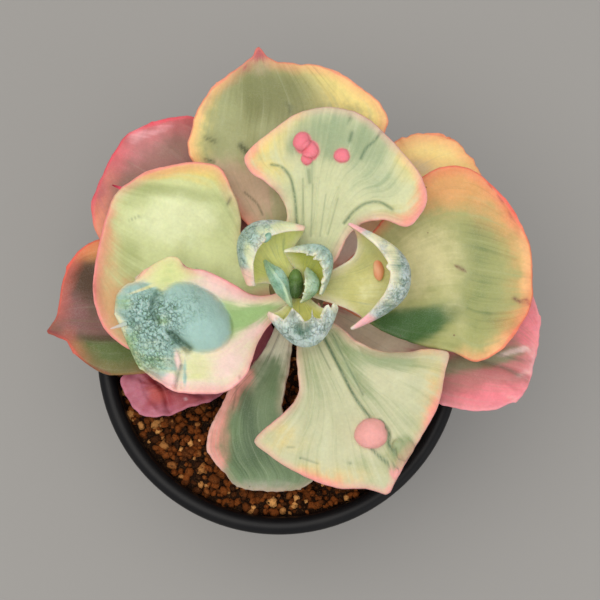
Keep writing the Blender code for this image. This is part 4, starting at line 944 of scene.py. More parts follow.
class Wiring:
    """Short calls for one node tree: each makes a node, feeds it and returns its output."""

    def __init__(self, tree):
        self.tree = tree

    def add(self, kind, feeds=None, **settings):
        node = self.tree.nodes.new(kind)
        for key, value in settings.items():
            setattr(node, key, value)
        for key, value in (feeds or {}).items():
            self.feed(node.inputs[key], value)
        return node

    def feed(self, socket, value):
        if isinstance(value, bpy.types.NodeSocket):
            self.tree.links.new(value, socket)
        else:
            socket.default_value = value

    def math(self, operation, *values):
        return self.add("ShaderNodeMath", dict(enumerate(values)), operation=operation).outputs[0]

    def mix(self, share, first, second, how="MIX"):
        node = self.add("ShaderNodeMix", data_type="RGBA", blend_type=how)
        for k, value in ((0, share), (6, first), (7, second)):
            self.feed(node.inputs[k], value)
        return node.outputs[2]

    def step(self, value, low, high, out_low=0.0, out_high=1.0):
        """Eases from out_low to out_high while the value goes from low to high."""
        return self.add("ShaderNodeMapRange", {0: value, 1: low, 2: high, 3: out_low, 4: out_high},
                        interpolation_type="SMOOTHSTEP").outputs[0]

    def noise(self, vector, scale, detail=2.0, roughness=0.5, distortion=0.0):
        node = self.add("ShaderNodeTexNoise", {"Vector": vector, "Scale": scale, "Detail": detail,
                                               "Roughness": roughness, "Distortion": distortion})
        return node.outputs["Fac"]

    def value(self, name):
        """A piece's own attribute as a number."""
        return self.add("ShaderNodeAttribute", attribute_name=name).outputs["Fac"]

    def in_mm(self):
        """The place on the object, in mm."""
        place = self.add("ShaderNodeTexCoord").outputs["Object"]
        return self.stretched(place, (1000, 1000, 1000))

    def stretched(self, vector, factors):
        """A vector times a factor for each axis."""
        return self.add("ShaderNodeVectorMath", {0: vector, 1: factors}, operation="MULTIPLY").outputs[0]


def group(name, inputs, outputs):
    """An empty node group with the sockets named, and its input and output nodes."""
    tree = bpy.data.node_groups.new(name, "ShaderNodeTree")
    for direction, sockets in (("INPUT", inputs), ("OUTPUT", outputs)):
        for label, kind in sockets:
            tree.interface.new_socket(name=label, in_out=direction, socket_type="NodeSocket" + kind)
    given, out = tree.nodes.new("NodeGroupInput").outputs, tree.nodes.new("NodeGroupOutput").inputs
    return tree, Wiring(tree), given, out


SKIN_OUTPUTS = [("Color", "Color"), ("Roughness", "Float"), ("Height", "Float")]


def leaf_skin():
    """Colour, roughness and height of a variegated leaf, from its own masks and the noise on them.

    The ground is tinted by the flush masks, each loosened by noise where it is half strong; then come
    streaks along the blade, inked lines, the coloured rim, powder, fine mottling and pinprick spots.
    """
    colours = ("Ground", "Warm", "Green", "Blush", "Bloom", "Rim", "Under", "Ink", "Mottle Tone")
    numbers = ("Rim Width", "Streaks", "Powder", "Spots", "Grain", "Mottle")
    inputs = [(label, "Color") for label in colours] + [(label, "Float") for label in numbers]
    tree, w, given, out = group("leaf skin", inputs, SKIN_OUTPUTS)
    mm = w.in_mm()
    broad, middling = w.noise(mm, 0.085, 2), w.noise(mm, 0.33, 3)
    fine, dust = w.noise(mm, 1.3, 3, 0.6), w.noise(mm, 4.0, 2)
    blotch = w.noise(mm, 0.62, 5, 0.66, 0.7)
    blade = w.add("ShaderNodeUVMap", uv_map="blade").outputs[0]
    streak = w.noise(w.stretched(blade, (30, 1.6, 1)), 1.0, 4, 0.6, 0.3)
    wide_streak = w.noise(w.stretched(blade, (9, 1.0, 1)), 1.0, 2, 0.5)
    flush = w.add("ShaderNodeAttribute", attribute_name="flush")
    parts = w.add("ShaderNodeSeparateColor", {0: flush.outputs["Color"]}).outputs
    loose = w.math("ADD", w.math("MULTIPLY", w.math("SUBTRACT", middling, 0.5), 0.7),
                   w.math("MULTIPLY", w.math("SUBTRACT", wide_streak, 0.5), 0.7))
    loose = w.math("ADD", loose, w.math("MULTIPLY", w.math("SUBTRACT", streak, 0.5), 0.9))

    def loosened(mask):
        halfway = w.math("MULTIPLY", w.math("MULTIPLY", mask, w.math("SUBTRACT", 1.0, mask)), 4.0)
        moved = w.math("ADD", mask, w.math("MULTIPLY", halfway, loose))
        return w.step(moved, 0.0, 1.0)

    masks = parts[0], parts[1], parts[2], flush.outputs["Alpha"]
    warm, green, blush, bloom = (loosened(mask) for mask in masks)
    colour = w.mix(w.value("face"), given["Under"], given["Ground"])
    colour = w.mix(w.math("MULTIPLY", w.step(broad, 0.35, 0.7), 0.13), colour, given["Green"])
    colour = w.mix(warm, colour, given["Warm"])
    colour = w.mix(green, colour, given["Green"])
    colour = w.mix(blush, colour, given["Blush"])
    streaked = w.math("MULTIPLY", w.step(streak, 0.5, 0.72), given["Streaks"])
    colour = w.mix(w.math("MULTIPLY", streaked, 0.5), colour, given["Green"])
    pale_streak = w.math("MULTIPLY", w.step(streak, 0.46, 0.28), given["Streaks"])
    colour = w.mix(w.math("MULTIPLY", pale_streak, 0.13), colour, PALE_STREAK)
    colour = w.mix(bloom, colour, given["Bloom"])
    where = w.math("MULTIPLY", w.value("mottle"), given["Mottle"])
    drift = w.add("ShaderNodeTexNoise", {"Vector": mm, "Scale": 1.1}).outputs["Color"]
    push = w.stretched(drift, (0.9, 0.9, 0.9))
    torn = w.add("ShaderNodeVectorMath", {0: mm, 1: push}, operation="ADD").outputs[0]
    cell = w.add("ShaderNodeTexVoronoi", {"Vector": torn, "Scale": 0.95},
                 feature="DISTANCE_TO_EDGE").outputs["Distance"]
    crack = w.math("MULTIPLY", where, w.step(blotch, 0.35, 0.6))
    crack = w.math("MULTIPLY", w.step(cell, 0.16, 0.02), crack)
    colour = w.mix(w.math("MULTIPLY", w.step(blotch, 0.49, 0.66), where), colour, given["Mottle Tone"])
    pale_mottle = w.math("MULTIPLY", w.step(blotch, 0.46, 0.30), w.math("MULTIPLY", where, 0.7))
    colour = w.mix(pale_mottle, colour, PALE_MOTTLE)
    colour = w.mix(w.math("MULTIPLY", crack, 0.55), colour, given["Ink"])
    ink = w.value("ink")
    colour = w.mix(w.math("MULTIPLY", ink, w.step(fine, 0.2, 0.55, 0.35, 1.0)), colour, given["Ink"])
    margin = w.value("margin")
    uneven = w.math("ADD", middling, w.math("MULTIPLY", broad, 0.3))
    width = w.math("MULTIPLY", given["Rim Width"], w.math("ADD", 0.45, uneven))
    near = w.step(margin, 0.0, width, 0.8, 0.0)
    glow = w.step(margin, 0.0, w.math("MULTIPLY", width, 3.6), 0.42, 0.0)
    rim = w.math("MULTIPLY", w.math("MAXIMUM", near, glow), w.value("rim"))
    colour = w.mix(rim, colour, given["Rim"])
    powder = w.math("MULTIPLY", given["Powder"], w.step(middling, 0.3, 0.62, 0.35, 1.0))
    powder = w.math("MULTIPLY", w.step(dust, 0.42, 0.66), powder)
    colour = w.mix(powder, colour, POWDER)
    shade = w.math("ADD", w.math("MULTIPLY", middling, 0.16), w.math("MULTIPLY", fine, given["Grain"]))
    colour = w.mix(1.0, colour, w.step(shade, 0.0, 0.42, 0.80, 1.14), "MULTIPLY")
    cells = w.add("ShaderNodeTexVoronoi", {"Vector": mm, "Scale": 0.17}, feature="F1")
    picked = w.step(w.add("ShaderNodeSeparateColor", {0: cells.outputs["Color"]}).outputs[0], 0.72, 0.74)
    spot = w.math("MULTIPLY", w.step(cells.outputs["Distance"], 0.055, 0.03),
                  w.math("MULTIPLY", picked, given["Spots"]))
    colour = w.mix(spot, colour, given["Ink"])
    w.feed(out["Color"], colour)
    rough = w.math("ADD", w.math("MULTIPLY", bloom, 0.16), w.math("MULTIPLY", fine, 0.16))
    w.feed(out["Roughness"], w.math("ADD", rough, 0.40))
    height = w.math("ADD", w.math("MULTIPLY", fine, 0.45), w.math("MULTIPLY", dust, 0.18))
    height = w.math("ADD", height, w.math("MULTIPLY", w.math("MULTIPLY", streak, given["Streaks"]), 0.35))
    height = w.math("ADD", height, w.math("MULTIPLY", middling, 0.5))
    height = w.math("SUBTRACT", height, w.math("MULTIPLY", crack, 2.2))
    height = w.math("ADD", height, w.math("MULTIPLY", w.math("MULTIPLY", blotch, where), -1.2))
    w.feed(out["Height"], w.math("SUBTRACT", height, w.math("MULTIPLY", ink, 0.4)))
    return tree


def finished(name, skin, values, bump, soft=0.0, specular=0.5):
    """A material whose colour, roughness and bump come from a skin group with its own values.

    bump is the relief's depth in mm; soft is the weight of the light that goes under the surface.
    """
    made = bpy.data.materials.new(name)
    made.use_nodes = True
    w = Wiring(made.node_tree)
    shader = made.node_tree.nodes["Principled BSDF"]
    node = w.add("ShaderNodeGroup")
    node.node_tree = skin
    for key, value in values.items():
        node.inputs[key].default_value = value
    relief = w.add("ShaderNodeBump", {"Strength": 1.0, "Distance": bump * MM,
                                      "Height": node.outputs["Height"]})
    w.feed(shader.inputs["Base Color"], node.outputs["Color"])
    w.feed(shader.inputs["Roughness"], node.outputs["Roughness"])
    w.feed(shader.inputs["Normal"], relief.outputs[0])
    shader.inputs["Specular IOR Level"].default_value = specular
    shader.inputs["Subsurface Weight"].default_value = soft
    shader.inputs["Subsurface Radius"].default_value = (1.2, 0.8, 0.4)
    shader.inputs["Subsurface Scale"].default_value = MM
    return made


LEAF_SKIN = leaf_skin()


def leaf_material(name, look):
    """The leaf skin with one leaf's own colours."""
    colours = ("ground", "warm", "green", "blush", "bloom", "rim", "under")
    values = {key.capitalize(): tone(*look[key]) for key in colours}
    values.update({"Ink": tone(*look.get("ink_tone", (82, 104, 74))),
                   "Mottle Tone": tone(*look.get("mottle_tone", look["green"])),
                   "Rim Width": look["rim_width"], "Streaks": look["streaks"],
                   "Powder": look["powder"], "Spots": look["spots"], "Grain": 0.18,
                   "Mottle": look.get("mottling", 0.8)})
    return finished(name.replace("leaf_", "skin_of_"), LEAF_SKIN, values, look.get("bump", 0.12),
                    look.get("soft", 0.22), 0.3)


def soil_grain():
    """Crumbly fired clay: each granule has its own tone; painted shade darkens it where the crumb noise,
    and with it the bump, is low, and a painted highlight turns the tops of the fine grit towards tan.
    """
    inputs = [("Dark", "Color"), ("Rust", "Color"), ("Tan", "Color")]
    tree, w, given, out = group("soil grain", inputs, SKIN_OUTPUTS)
    mm = w.in_mm()
    crumb, grit = w.noise(mm, 1.4, 3, 0.65), w.noise(mm, 4.0, 3, 0.7)
    own = w.value("tone")
    colour = w.mix(w.step(own, 0.05, 0.62), given["Dark"], given["Rust"])
    colour = w.mix(w.step(own, 0.70, 0.95), colour, given["Tan"])
    # Painted shade: darker where the crumb noise is low, which is where the bump is low too.
    colour = w.mix(w.math("MULTIPLY", w.step(crumb, 0.50, 0.34), 0.6), colour, given["Dark"])
    # Painted highlight: towards tan on the tops of the fine grit, which the bump raises.
    colour = w.mix(w.math("MULTIPLY", w.step(grit, 0.55, 0.75), 0.35), colour, given["Tan"])
    w.feed(out["Color"], colour)
    w.feed(out["Roughness"], w.math("ADD", 0.72, w.math("MULTIPLY", grit, 0.22)))
    w.feed(out["Height"], w.math("ADD", w.math("MULTIPLY", crumb, 0.7), w.math("MULTIPLY", grit, 0.4)))
    return tree


def moulded_plastic():
    """Satin moulded plastic: faint turned lines round the axis, a fine spark grain, dust and scuffs."""
    inputs = [("Plastic", "Color"), ("Dust", "Color"), ("Dustiness", "Float")]
    tree, w, given, out = group("moulded plastic", inputs, SKIN_OUTPUTS)
    mm = w.in_mm()
    spark, cloud = w.noise(mm, 3.2, 3, 0.6), w.noise(mm, 0.07, 3, 0.6)
    height = w.add("ShaderNodeSeparateXYZ", {0: mm}).outputs[2]
    turned = w.math("SINE", w.math("MULTIPLY", height, 7.0))
    scuff = w.step(w.noise(w.stretched(mm, (0.25, 0.25, 1.6)), 0.6, 4, 0.7), 0.60, 0.72)
    dusty = w.math("ADD", w.step(cloud, 0.40, 0.75), w.math("MULTIPLY", scuff, 0.5))
    dusty = w.math("MULTIPLY", dusty, given["Dustiness"])
    w.feed(out["Color"], w.mix(dusty, given["Plastic"], given["Dust"]))
    rough = w.math("ADD", 0.36, w.math("MULTIPLY", spark, 0.14))
    w.feed(out["Roughness"], w.math("ADD", rough, w.math("MULTIPLY", dusty, 0.5)))
    w.feed(out["Height"], w.math("ADD", w.math("MULTIPLY", spark, 0.5), w.math("MULTIPLY", turned, 0.10)))
    return tree


def stem_bark():
    """Fleshy stem: green-brown skin with lengthwise fissures and darker old leaf scars."""
    inputs = [("Skin", "Color"), ("Bark", "Color"), ("Scar", "Color")]
    tree, w, given, out = group("stem bark", inputs, SKIN_OUTPUTS)
    mm = w.in_mm()
    broad, fine = w.noise(mm, 0.25, 3), w.noise(mm, 1.5, 3, 0.6)
    fissure = w.noise(w.stretched(mm, (1.1, 1.1, 0.22)), 1.0, 3, 0.6)
    colour = w.mix(w.step(broad, 0.35, 0.65), given["Skin"], given["Bark"])
    colour = w.mix(w.math("MULTIPLY", w.step(fissure, 0.52, 0.70), 0.7), colour, given["Bark"])
    colour = w.mix(w.value("scar"), colour, given["Scar"])
    colour = w.mix(1.0, colour, w.step(fine, 0.2, 0.8, 0.8, 1.15), "MULTIPLY")
    w.feed(out["Color"], colour)
    w.feed(out["Roughness"], w.math("ADD", 0.6, w.math("MULTIPLY", fine, 0.2)))
    w.feed(out["Height"], w.math("ADD", w.math("MULTIPLY", fissure, 0.7), w.math("MULTIPLY", fine, 0.4)))
    return tree


def ring_faces(index):
    """Quads between the rows of a grid of point numbers whose rows close into rings."""
    ahead = np.roll(index, -1, axis=1)
    return np.stack([index[:-1], ahead[:-1], ahead[1:], index[1:]], -1).reshape(-1, 4)


def closed_tube(centres, radii, around):
    """A tube carried along a path: each ring is its centre plus its radius times the cosine and sine of
    the way round; a point closes each end. Gives points and faces."""
    turn = np.arange(around) / around * 2 * pi
    ring = np.stack([np.cos(turn), np.sin(turn), np.zeros(around)], -1)
    points = (centres[:, None] + ring * radii[..., None]).reshape(-1, 3)
    count = len(centres)
    index = np.arange(count * around).reshape(count, around)
    ahead = np.roll(index, -1, axis=1)
    low, high = count * around, count * around + 1
    faces = ring_faces(index).tolist()
    faces += [(low, b, a) for a, b in zip(index[0], ahead[0])]
    faces += [(high, a, b) for a, b in zip(index[-1], ahead[-1])]
    return np.concatenate([points, centres[:1], centres[-1:]]), faces


def ball(rows, around, open_angle):
    """Points of a unit ball in rings, the first and last ring open_angle short of the poles, and its
    faces, with one face that closes each of those rings."""
    up = np.linspace(-pi / 2 + open_angle, pi / 2 - open_angle, rows)[:, None]
    turn = np.arange(around) / around * 2 * pi
    points = np.stack([np.cos(up) * np.cos(turn), np.cos(up) * np.sin(turn), np.sin(up) + 0 * turn], -1)
    index = np.arange(rows * around).reshape(rows, around)
    faces = ring_faces(index).tolist() + [index[0, ::-1].tolist(), index[-1].tolist()]
    return points, faces, turn, up


def make_stem():
    """The leaning stem: a smooth tube whose radius swells round each old leaf scar, a scar's mask being
    e to the minus its distance squared round and along the stem."""
    rows, around = 120, 96
    along = np.linspace(0, 1, rows)
    path = smooth(np.array(STEM_KNOTS)[:, :3], along)
    knots = np.array(STEM_KNOTS)
    radius = np.interp(path[:, 2], knots[:, 2], knots[:, 3])
    turn = np.arange(around) / around * 2 * pi
    scar = np.zeros((rows, around))
    for k in range(SCARS):
        round_off = np.angle(np.exp(1j * (turn[None, :] - k * SCAR_TURN))) * 5 / 2.1
        along_off = (path[:, 2:3] - (k - 4.5)) / 0.75
        scar = np.maximum(scar, np.exp(-(round_off**2) - along_off**2))
    radii = radius[:, None] * (1 + 0.015 * np.sin(5 * turn)[None, :]) + 0.30 * scar - 0.15
    centres = path + (0, 0, POT_HEIGHT)
    points, faces = closed_tube(centres, radii, around)
    tones = {"Skin": tone(150, 150, 92), "Bark": tone(122, 96, 66), "Scar": tone(92, 66, 50)}
    skin = finished("stem_skin", stem_bark(), tones, 0.35)
    values = {"scar": np.concatenate([scar.ravel(), [0, 0]])}
    stands_for(piece("stem_skin", points, faces, skin, values), "stem")


def turned_grid(profile, around):
    """A profile of (radius, height) carried round the axis: radius times the cosine and sine."""
    r, z = np.array(profile).T
    turn = np.linspace(0, 2 * pi, around, endpoint=False)
    x, y = np.outer(r, np.cos(turn)), np.outer(r, np.sin(turn))
    return np.stack([x, y, np.repeat(z[:, None], around, 1)], -1)


def wall_radius(z):
    """Outer radius of the pot's tapered wall at height z."""
    return BASE_RADIUS + (WALL_TOP_RADIUS - BASE_RADIUS) * z / (POT_HEIGHT - LIP_HEIGHT)


def arc(centre, radius, start, end, count):
    """Points of a circular arc, angles in degrees."""
    angle = np.radians(np.linspace(start, end, count))
    return [(centre[0] + radius * cos(a), centre[1] + radius * sin(a)) for a in angle]


def pot_wall():
    """The wall's profile of (radius, height): up the outside, over the rolled lip and down the inside."""
    lip = POT_HEIGHT - LIP_HEIGHT
    roll = (RIM_RADIUS - wall_radius(lip) + WALL) / 2
    outer = [(BASE_RADIUS - 3.0, 0.0)] + arc((BASE_RADIUS - 0.9, 0.9), 0.9, -90, -12, 6)
    outer += [(wall_radius(z), z) for z in np.linspace(2.0, lip - 1.2, 30)]
    outer += [(WALL_TOP_RADIUS - 0.15, lip - 0.6), (WALL_TOP_RADIUS + 0.1, lip - 0.15)]
    outer += [(RIM_RADIUS - 0.9, lip)] + arc((RIM_RADIUS - 0.75, lip + 0.55), 0.55, -80, 0, 5)
    for share in np.linspace(0, 1, 5):
        outer.append((RIM_RADIUS - 0.2 + 0.2 * share, lip + 1.2 + share * (LIP_HEIGHT - roll - 1.4)))
    top = arc((RIM_RADIUS - roll, POT_HEIGHT - roll), roll, 0, 180, 19)
    inner = [(wall_radius(z) - WALL, z) for z in np.linspace(lip, 6.0, 24)]
    inner += [(BASE_RADIUS - WALL - 0.4, POT_FLOOR + 1.2), (BASE_RADIUS - WALL - 1.4, POT_FLOOR + 0.2),
              (BASE_RADIUS - WALL - 2.4, POT_FLOOR)]
    return outer + top + inner


def drained_disc(z):
    """The pot's floor at height z as grids: round each hole, rings that go evenly from the hole's circle
    to the edge of its sector; inside them, rings down to a point; outside them, one ring to the wall."""
    per_sector, side = 24, 8
    low, high = DRAIN_CIRCLE - 6.5, DRAIN_CIRCLE + 6.5
    wall = BASE_RADIUS - WALL - 2.4 if z > 0 else BASE_RADIUS - 3.0
    half = pi / DRAIN_HOLES
    grids = []
    for k in range(DRAIN_HOLES):
        centre = half * (2 * k + 1)
        out = np.linspace(centre - half, centre + half, per_sector + 1)
        climb = np.linspace(low, high, side + 1)
        radius = np.concatenate([np.full(per_sector, high), climb[:0:-1],
                                 np.full(per_sector, low), climb[:-1]])
        angle = np.concatenate([out[:-1], np.full(side, out[-1]), out[:0:-1], np.full(side, out[0])])
        edge = np.stack([radius * np.cos(angle), radius * np.sin(angle)], -1)
        hub = np.array([DRAIN_CIRCLE * cos(centre), DRAIN_CIRCLE * sin(centre)])
        way = edge - hub
        circle = hub + way / np.linalg.norm(way, axis=1, keepdims=True) * DRAIN_RADIUS
        share = np.linspace(0, 1, 5)[:, None, None]
        grids.append(circle * (1 - share) + edge * share)
    turn = np.linspace(0, 2 * pi, DRAIN_HOLES * per_sector, endpoint=False)
    ring = np.stack([np.cos(turn), np.sin(turn)], -1)
    grids.append(np.array([radius * ring for radius in (1e-3, low / 3, low * 2 / 3, low)]))
    grids.append(np.array([radius * ring for radius in (high, wall)]))
    return [np.concatenate([grid, np.full(grid.shape[:2] + (1,), z)], -1) for grid in grids]


def make_pot():
    """The moulded pot: its wall turned round the axis, and a floor with round drain holes."""
    wall = turned_grid(pot_wall(), POT_AROUND)
    under, over = drained_disc(0.0), drained_disc(POT_FLOOR)
    bores = [np.stack([low[0], high[0]]) for low, high in zip(under[:DRAIN_HOLES], over)]
    points, faces, start = [], [], 0
    for grid in [wall] + under + over + bores:
        rows, columns = grid.shape[:2]
        faces.append(ring_faces(start + np.arange(rows * columns).reshape(rows, columns)))
        points.append(grid.reshape(-1, 3))
        start += rows * columns
    tones = {"Plastic": tone(13, 13, 15), "Dust": tone(88, 83, 78), "Dustiness": 0.045}
    plastic = finished("pot_plastic", moulded_plastic(), tones, 0.05, specular=0.2)
    pot = piece("pot_shell", np.concatenate(points), np.concatenate(faces), plastic)
    form = bmesh.new()
    form.from_mesh(pot.data)
    bmesh.ops.remove_doubles(form, verts=form.verts[:], dist=2e-6)
    bmesh.ops.recalc_face_normals(form, faces=form.faces[:])
    form.to_mesh(pot.data)
    form.free()
    stands_for(pot, "pot")


def soil_relief(x, y):
    """Height of the soil's bed over its level: three sines."""
    long_wave = 0.55 * np.sin(0.31 * x - 0.24 * y + 1) + 0.3 * np.sin(0.17 * y + 0.5)
    return long_wave + 0.2 * np.sin(0.6 * x + 0.4 * y)


def soil_bed():
    """The soil's turned body with an uneven top, as a grid, and its faces."""
    top = POT_HEIGHT + SOIL_LEVEL - 1.0
    inside = WALL + GAP
    top_rings = 30
    profile = [(r, top) for r in np.linspace(0.01, wall_radius(top) - inside, top_rings)]
    profile += [(wall_radius(z) - inside, z) for z in np.linspace(top - 2, 5.0, 12)]
    profile += [(BASE_RADIUS - inside - 2.0, POT_FLOOR + GAP), (0.01, POT_FLOOR + GAP)]
    bed = turned_grid(profile, SOIL_AROUND)
    bed[:top_rings, :, 2] += soil_relief(bed[:top_rings, :, 0], bed[:top_rings, :, 1])
    index = np.arange(bed.shape[0] * SOIL_AROUND).reshape(-1, SOIL_AROUND)
    ahead = np.roll(index, -1, axis=1)
    return bed, np.stack([index[:-1], index[1:], ahead[1:], ahead[:-1]], -1).reshape(-1, 4)


def granule_places(rng):
    """Places of the granules on the soil, in pushed rows with loose ones over them, and which are
    loose."""
    across = np.arange(-27, 28) * GRANULE_PITCH
    rows = np.arange(-31, 32) * GRANULE_PITCH * 0.87
    x, y = np.meshgrid(across, rows)
    x = x + (np.arange(len(rows)) % 2 * GRANULE_PITCH / 2)[:, None]
    places = np.stack([x.ravel(), y.ravel()], -1) + rng.normal(0, 0.36, (x.size, 2))
    places = np.concatenate([places, rng.uniform(-42, 42, (LOOSE_GRANULES, 2))])
    loose = np.arange(len(places)) >= x.size
    wall = wall_radius(POT_HEIGHT + SOIL_LEVEL - 1.0) - WALL - GAP
    off_stem = np.linalg.norm(places - STEM_KNOTS[1][:2], axis=1) > 5.9
    keep = (np.linalg.norm(places, axis=1) < wall - 0.7) & off_stem
    return places[keep], loose[keep]


def rounded_cube():
    """A cube of 24 quads drawn towards a ball: each point divided by its distance to the power 0.75."""
    cube = np.stack(np.meshgrid(*[[-1, 0, 1]] * 3, indexing="ij"), -1).reshape(-1, 3).astype(float)
    number = np.full(len(cube), -1)
    number[np.abs(cube).max(1) > 0] = np.arange(GRANULE_POINTS)
    grid = np.arange(len(cube)).reshape(3, 3, 3)
    sides = []
    for layer, turned in ((grid[0], True), (grid[2], False), (grid[:, 0], False),
                          (grid[:, 2], True), (grid[:, :, 0], True), (grid[:, :, 2], False)):
        quad = np.stack([layer[:-1, :-1], layer[1:, :-1], layer[1:, 1:], layer[:-1, 1:]], -1).reshape(-1, 4)
        sides.append(quad[:, ::-1] if turned else quad)
    shell = cube[number >= 0]
    return shell / np.linalg.norm(shell, axis=1, keepdims=True) ** 0.75, number[np.concatenate(sides)]


def random_turns(rng, count):
    """Random rotation matrices, from quaternions of four normal draws brought to length one."""
    spin = rng.normal(size=(count, 4))
    a, b, c, d = (spin / np.linalg.norm(spin, axis=1, keepdims=True)).T
    return np.stack([np.stack([1 - 2 * (c * c + d * d), 2 * (b * c - a * d), 2 * (b * d + a * c)], -1),
                     np.stack([2 * (b * c + a * d), 1 - 2 * (b * b + d * d), 2 * (c * d - a * b)], -1),
                     np.stack([2 * (b * d - a * c), 2 * (c * d + a * b), 1 - 2 * (b * b + c * c)], -1)], 1)


def make_soil():
    """The soil: its bed, and some 3,000 granules half sunk in it.

    A granule is the rounded cube, its points pushed in and out at random, then stretched and turned
    at random. All of them are made as one array.
    """
    bed, bed_faces = soil_bed()
    rng = np.random.default_rng(11)
    places, loose = granule_places(rng)
    count = len(places)
    size = np.where(loose, rng.uniform(0.35, 0.85, count), rng.uniform(0.55, 1.25, count))
    level = POT_HEIGHT + SOIL_LEVEL - 0.9 + soil_relief(*places.T)
    level = level + np.where(loose, 0.9, rng.uniform(-0.5, 0.55, count))
    cube, quads = rounded_cube()
    shapes = cube[None] * rng.normal(1, 0.15, (count, GRANULE_POINTS, 1))
    shapes = shapes * rng.uniform(0.65, 1.25, (count, 1, 3))
    grains = np.einsum("nij,nkj->nki", random_turns(rng, count), shapes) * size[:, None, None]
    grains += np.column_stack([places, level])[:, None]
    own = np.repeat(rng.beta(2.0, 2.2, count), GRANULE_POINTS)
    start = bed.shape[0] * SOIL_AROUND
    grain_faces = (quads[None] + start + GRANULE_POINTS * np.arange(count)[:, None, None]).reshape(-1, 4)
    tones = {"Dark": tone(24, 9, 2), "Rust": tone(128, 66, 22), "Tan": tone(232, 168, 98)}
    clay = finished("soil_granules", soil_grain(), tones, 0.5, specular=0.15)
    # The bed takes tone 0.1, near the dark end: painted shade in the gaps between the granules.
    soil = piece("soil_bed_and_granules", np.concatenate([bed.reshape(-1, 3), grains.reshape(-1, 3)]),
                 np.concatenate([bed_faces, grain_faces]), clay,
                 {"tone": np.concatenate([np.full(start, 0.1), own])})
    stands_for(soil, "soil")


def make_bud():
    """The closed bud: a ball with a furrow across it, 0.2 times e to the minus ((y - 0.35) / 0.16)
    squared deep, drawn out to its radii."""
    sphere, faces, turn, up = ball(48, 64, 0.02)
    x, y, z = np.moveaxis(sphere, -1, 0)
    furrow = 1 - 0.20 * np.exp(-(((y - 0.35) / 0.16) ** 2)) * (z > -0.2)
    low, high = BUD["height"]
    points = lifted(BUD["centre"][0] + x * BUD["half"][0], BUD["centre"][1] + y * BUD["half"][1],
                    (low + high) / 2 + z * furrow * (high - low) / 2).reshape(-1, 3)
    zero = np.zeros(len(points))
    masks = np.zeros((len(points), 4))
    masks[:, GREEN] = np.clip(0.75 - y.ravel(), 0, 1) * 0.8
    uv = np.stack([np.tile(turn / 6.3, len(up)), np.repeat(up.ravel(), len(turn))], -1)
    values = {"margin": zero + 9, "face": zero + 1, "ink": zero, "rim": zero}
    made = piece("heart_bud_skin", points, faces, leaf_material("leaf_bud", BUD_LOOK), values,
                 {"flush": masks}, uv)
    stands_for(made, "heart_bud")


def two_tone(name, near, far):
    """A soft plain skin that goes from one colour to another with the attribute "far"."""
    skin = bpy.data.materials.new(name)
    skin.use_nodes = True
    w = Wiring(skin.node_tree)
    shader = skin.node_tree.nodes["Principled BSDF"]
    w.feed(shader.inputs["Base Color"], w.mix(w.value("far"), tone(*near), tone(*far)))
    shader.inputs["Roughness"].default_value = 0.5
    shader.inputs["Specular IOR Level"].default_value = 0.3
    return skin


def make_thorn(name, leaf, foot, point, height, radius, near, far):
    """A thorn: a tube of rings from foot to point, its radius going down as the square root of what is
    left, coloured by the share gone."""
    share = np.linspace(0, 1, 24)
    around = 20
    ends = on_rim_plane([foot, point])
    path = ends[0] + (ends[1] - ends[0]) * share[:, None]
    centres = lifted(path[:, 0], path[:, 1], height + 1.2 * share**2)
    radii = np.repeat((radius * np.sqrt(1 - share * 0.995))[:, None], around, 1)
    points, faces = closed_tube(centres, radii, around)
    values = {"far": np.concatenate([np.repeat(share, around), [0, 1]])}
    made = piece(name, points, faces, two_tone(name, near, far), values)


def make_bead(name, leaf, centre, height, radii, turn, near, far):
    """A small wart of its own: a ball drawn out to its radii, uneven by a swell, coloured from near to
    far by its unevenness."""
    sphere, faces, _, _ = ball(28, 40, 0.03)
    uneven = swell(sphere, 2.2, 9)
    x, y, z = np.moveaxis(sphere * (1 + 0.09 * uneven[..., None]) * radii, -1, 0)
    a = radians(turn)
    middle = on_rim_plane(centre)
    points = lifted(middle[0] + x * cos(a) - y * sin(a), middle[1] + x * sin(a) + y * cos(a), height + z)
    values = {"far": np.clip(0.5 + 0.5 * uneven.ravel(), 0, 1)}
    made = piece(name, points.reshape(-1, 3), faces, two_tone(name, near, far), values)


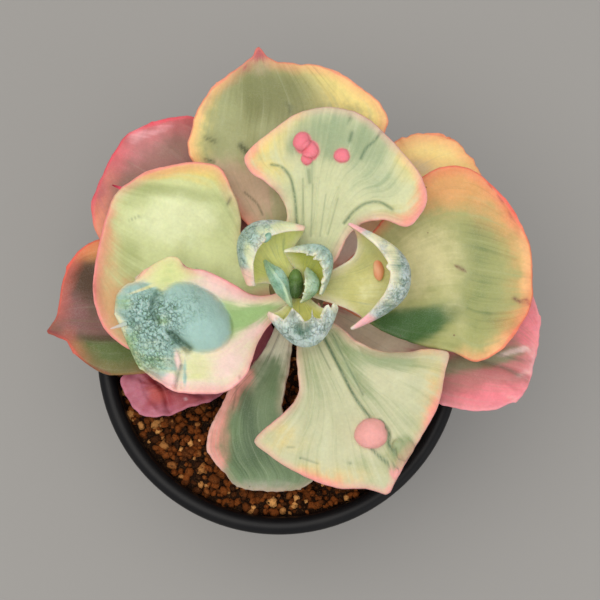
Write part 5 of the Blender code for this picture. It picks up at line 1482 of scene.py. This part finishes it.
def make_stage():
    """A plain pale floor, one broad soft lamp, a low fill and the camera of the view."""
    mesh = bpy.data.meshes.new("floor")
    corners = [(-FLOOR_REACH, -FLOOR_REACH, 0), (FLOOR_REACH, -FLOOR_REACH, 0),
               (FLOOR_REACH, FLOOR_REACH, 0), (-FLOOR_REACH, FLOOR_REACH, 0)]
    mesh.from_pydata(corners, [], [(0, 1, 2, 3)])
    matt = bpy.data.materials.new("floor_paper")
    matt.use_nodes = True
    shader = matt.node_tree.nodes["Principled BSDF"]
    shader.inputs["Base Color"].default_value = tone(*FLOOR_TONE)
    shader.inputs["Roughness"].default_value = 0.85
    mesh.materials.append(matt)
    ground = bpy.data.objects.new("floor", mesh)
    bpy.context.scene.collection.objects.link(ground)
    world = bpy.data.worlds.new("studio")
    bpy.context.scene.world = world
    world.use_nodes = True
    world.node_tree.nodes["Background"].inputs[0].default_value = tone(*SKY_TONE)
    world.node_tree.nodes["Background"].inputs[1].default_value = SKY_STRENGTH
    for name, place, size, power, colour in LAMPS:
        lamp = bpy.data.lights.new(name, "AREA")
        lamp.size, lamp.energy, lamp.color = size, power, tone(*colour)[:3]
        holder = bpy.data.objects.new(name, lamp)
        holder.location = place
        holder.rotation_euler = (LIT_POINT - Vector(place)).to_track_quat("-Z", "Y").to_euler()
        bpy.context.scene.collection.objects.link(holder)
    lens = bpy.data.cameras.new("view")
    lens.lens, lens.sensor_width = LENS, 36
    camera = bpy.data.objects.new("view", lens)
    camera.location = Vector(EYE * MM)
    camera.rotation_euler = Vector(AIM - EYE).to_track_quat("-Z", "Y").to_euler()
    bpy.context.scene.collection.objects.link(camera)
    bpy.context.scene.camera = camera
    bpy.context.scene.view_settings.view_transform = "Standard"


def main():
    make_stage()
    make_pot()
    make_soil()
    make_stem()
    make_bud()
    for name, thorn in THORNS.items():
        make_thorn(name, *thorn)
    for name, bead in BEADS.items():
        make_bead(name, *bead)
    for seed, (name, shape) in enumerate({**BLADES, **FOLDED}.items()):
        make_open_leaf(name, shape, LOOKS[name], seed)
    for seed, (name, shape) in enumerate(HOODS.items()):
        make_hooded_leaf(name, shape, LOOKS[name], 30 + seed)


main()
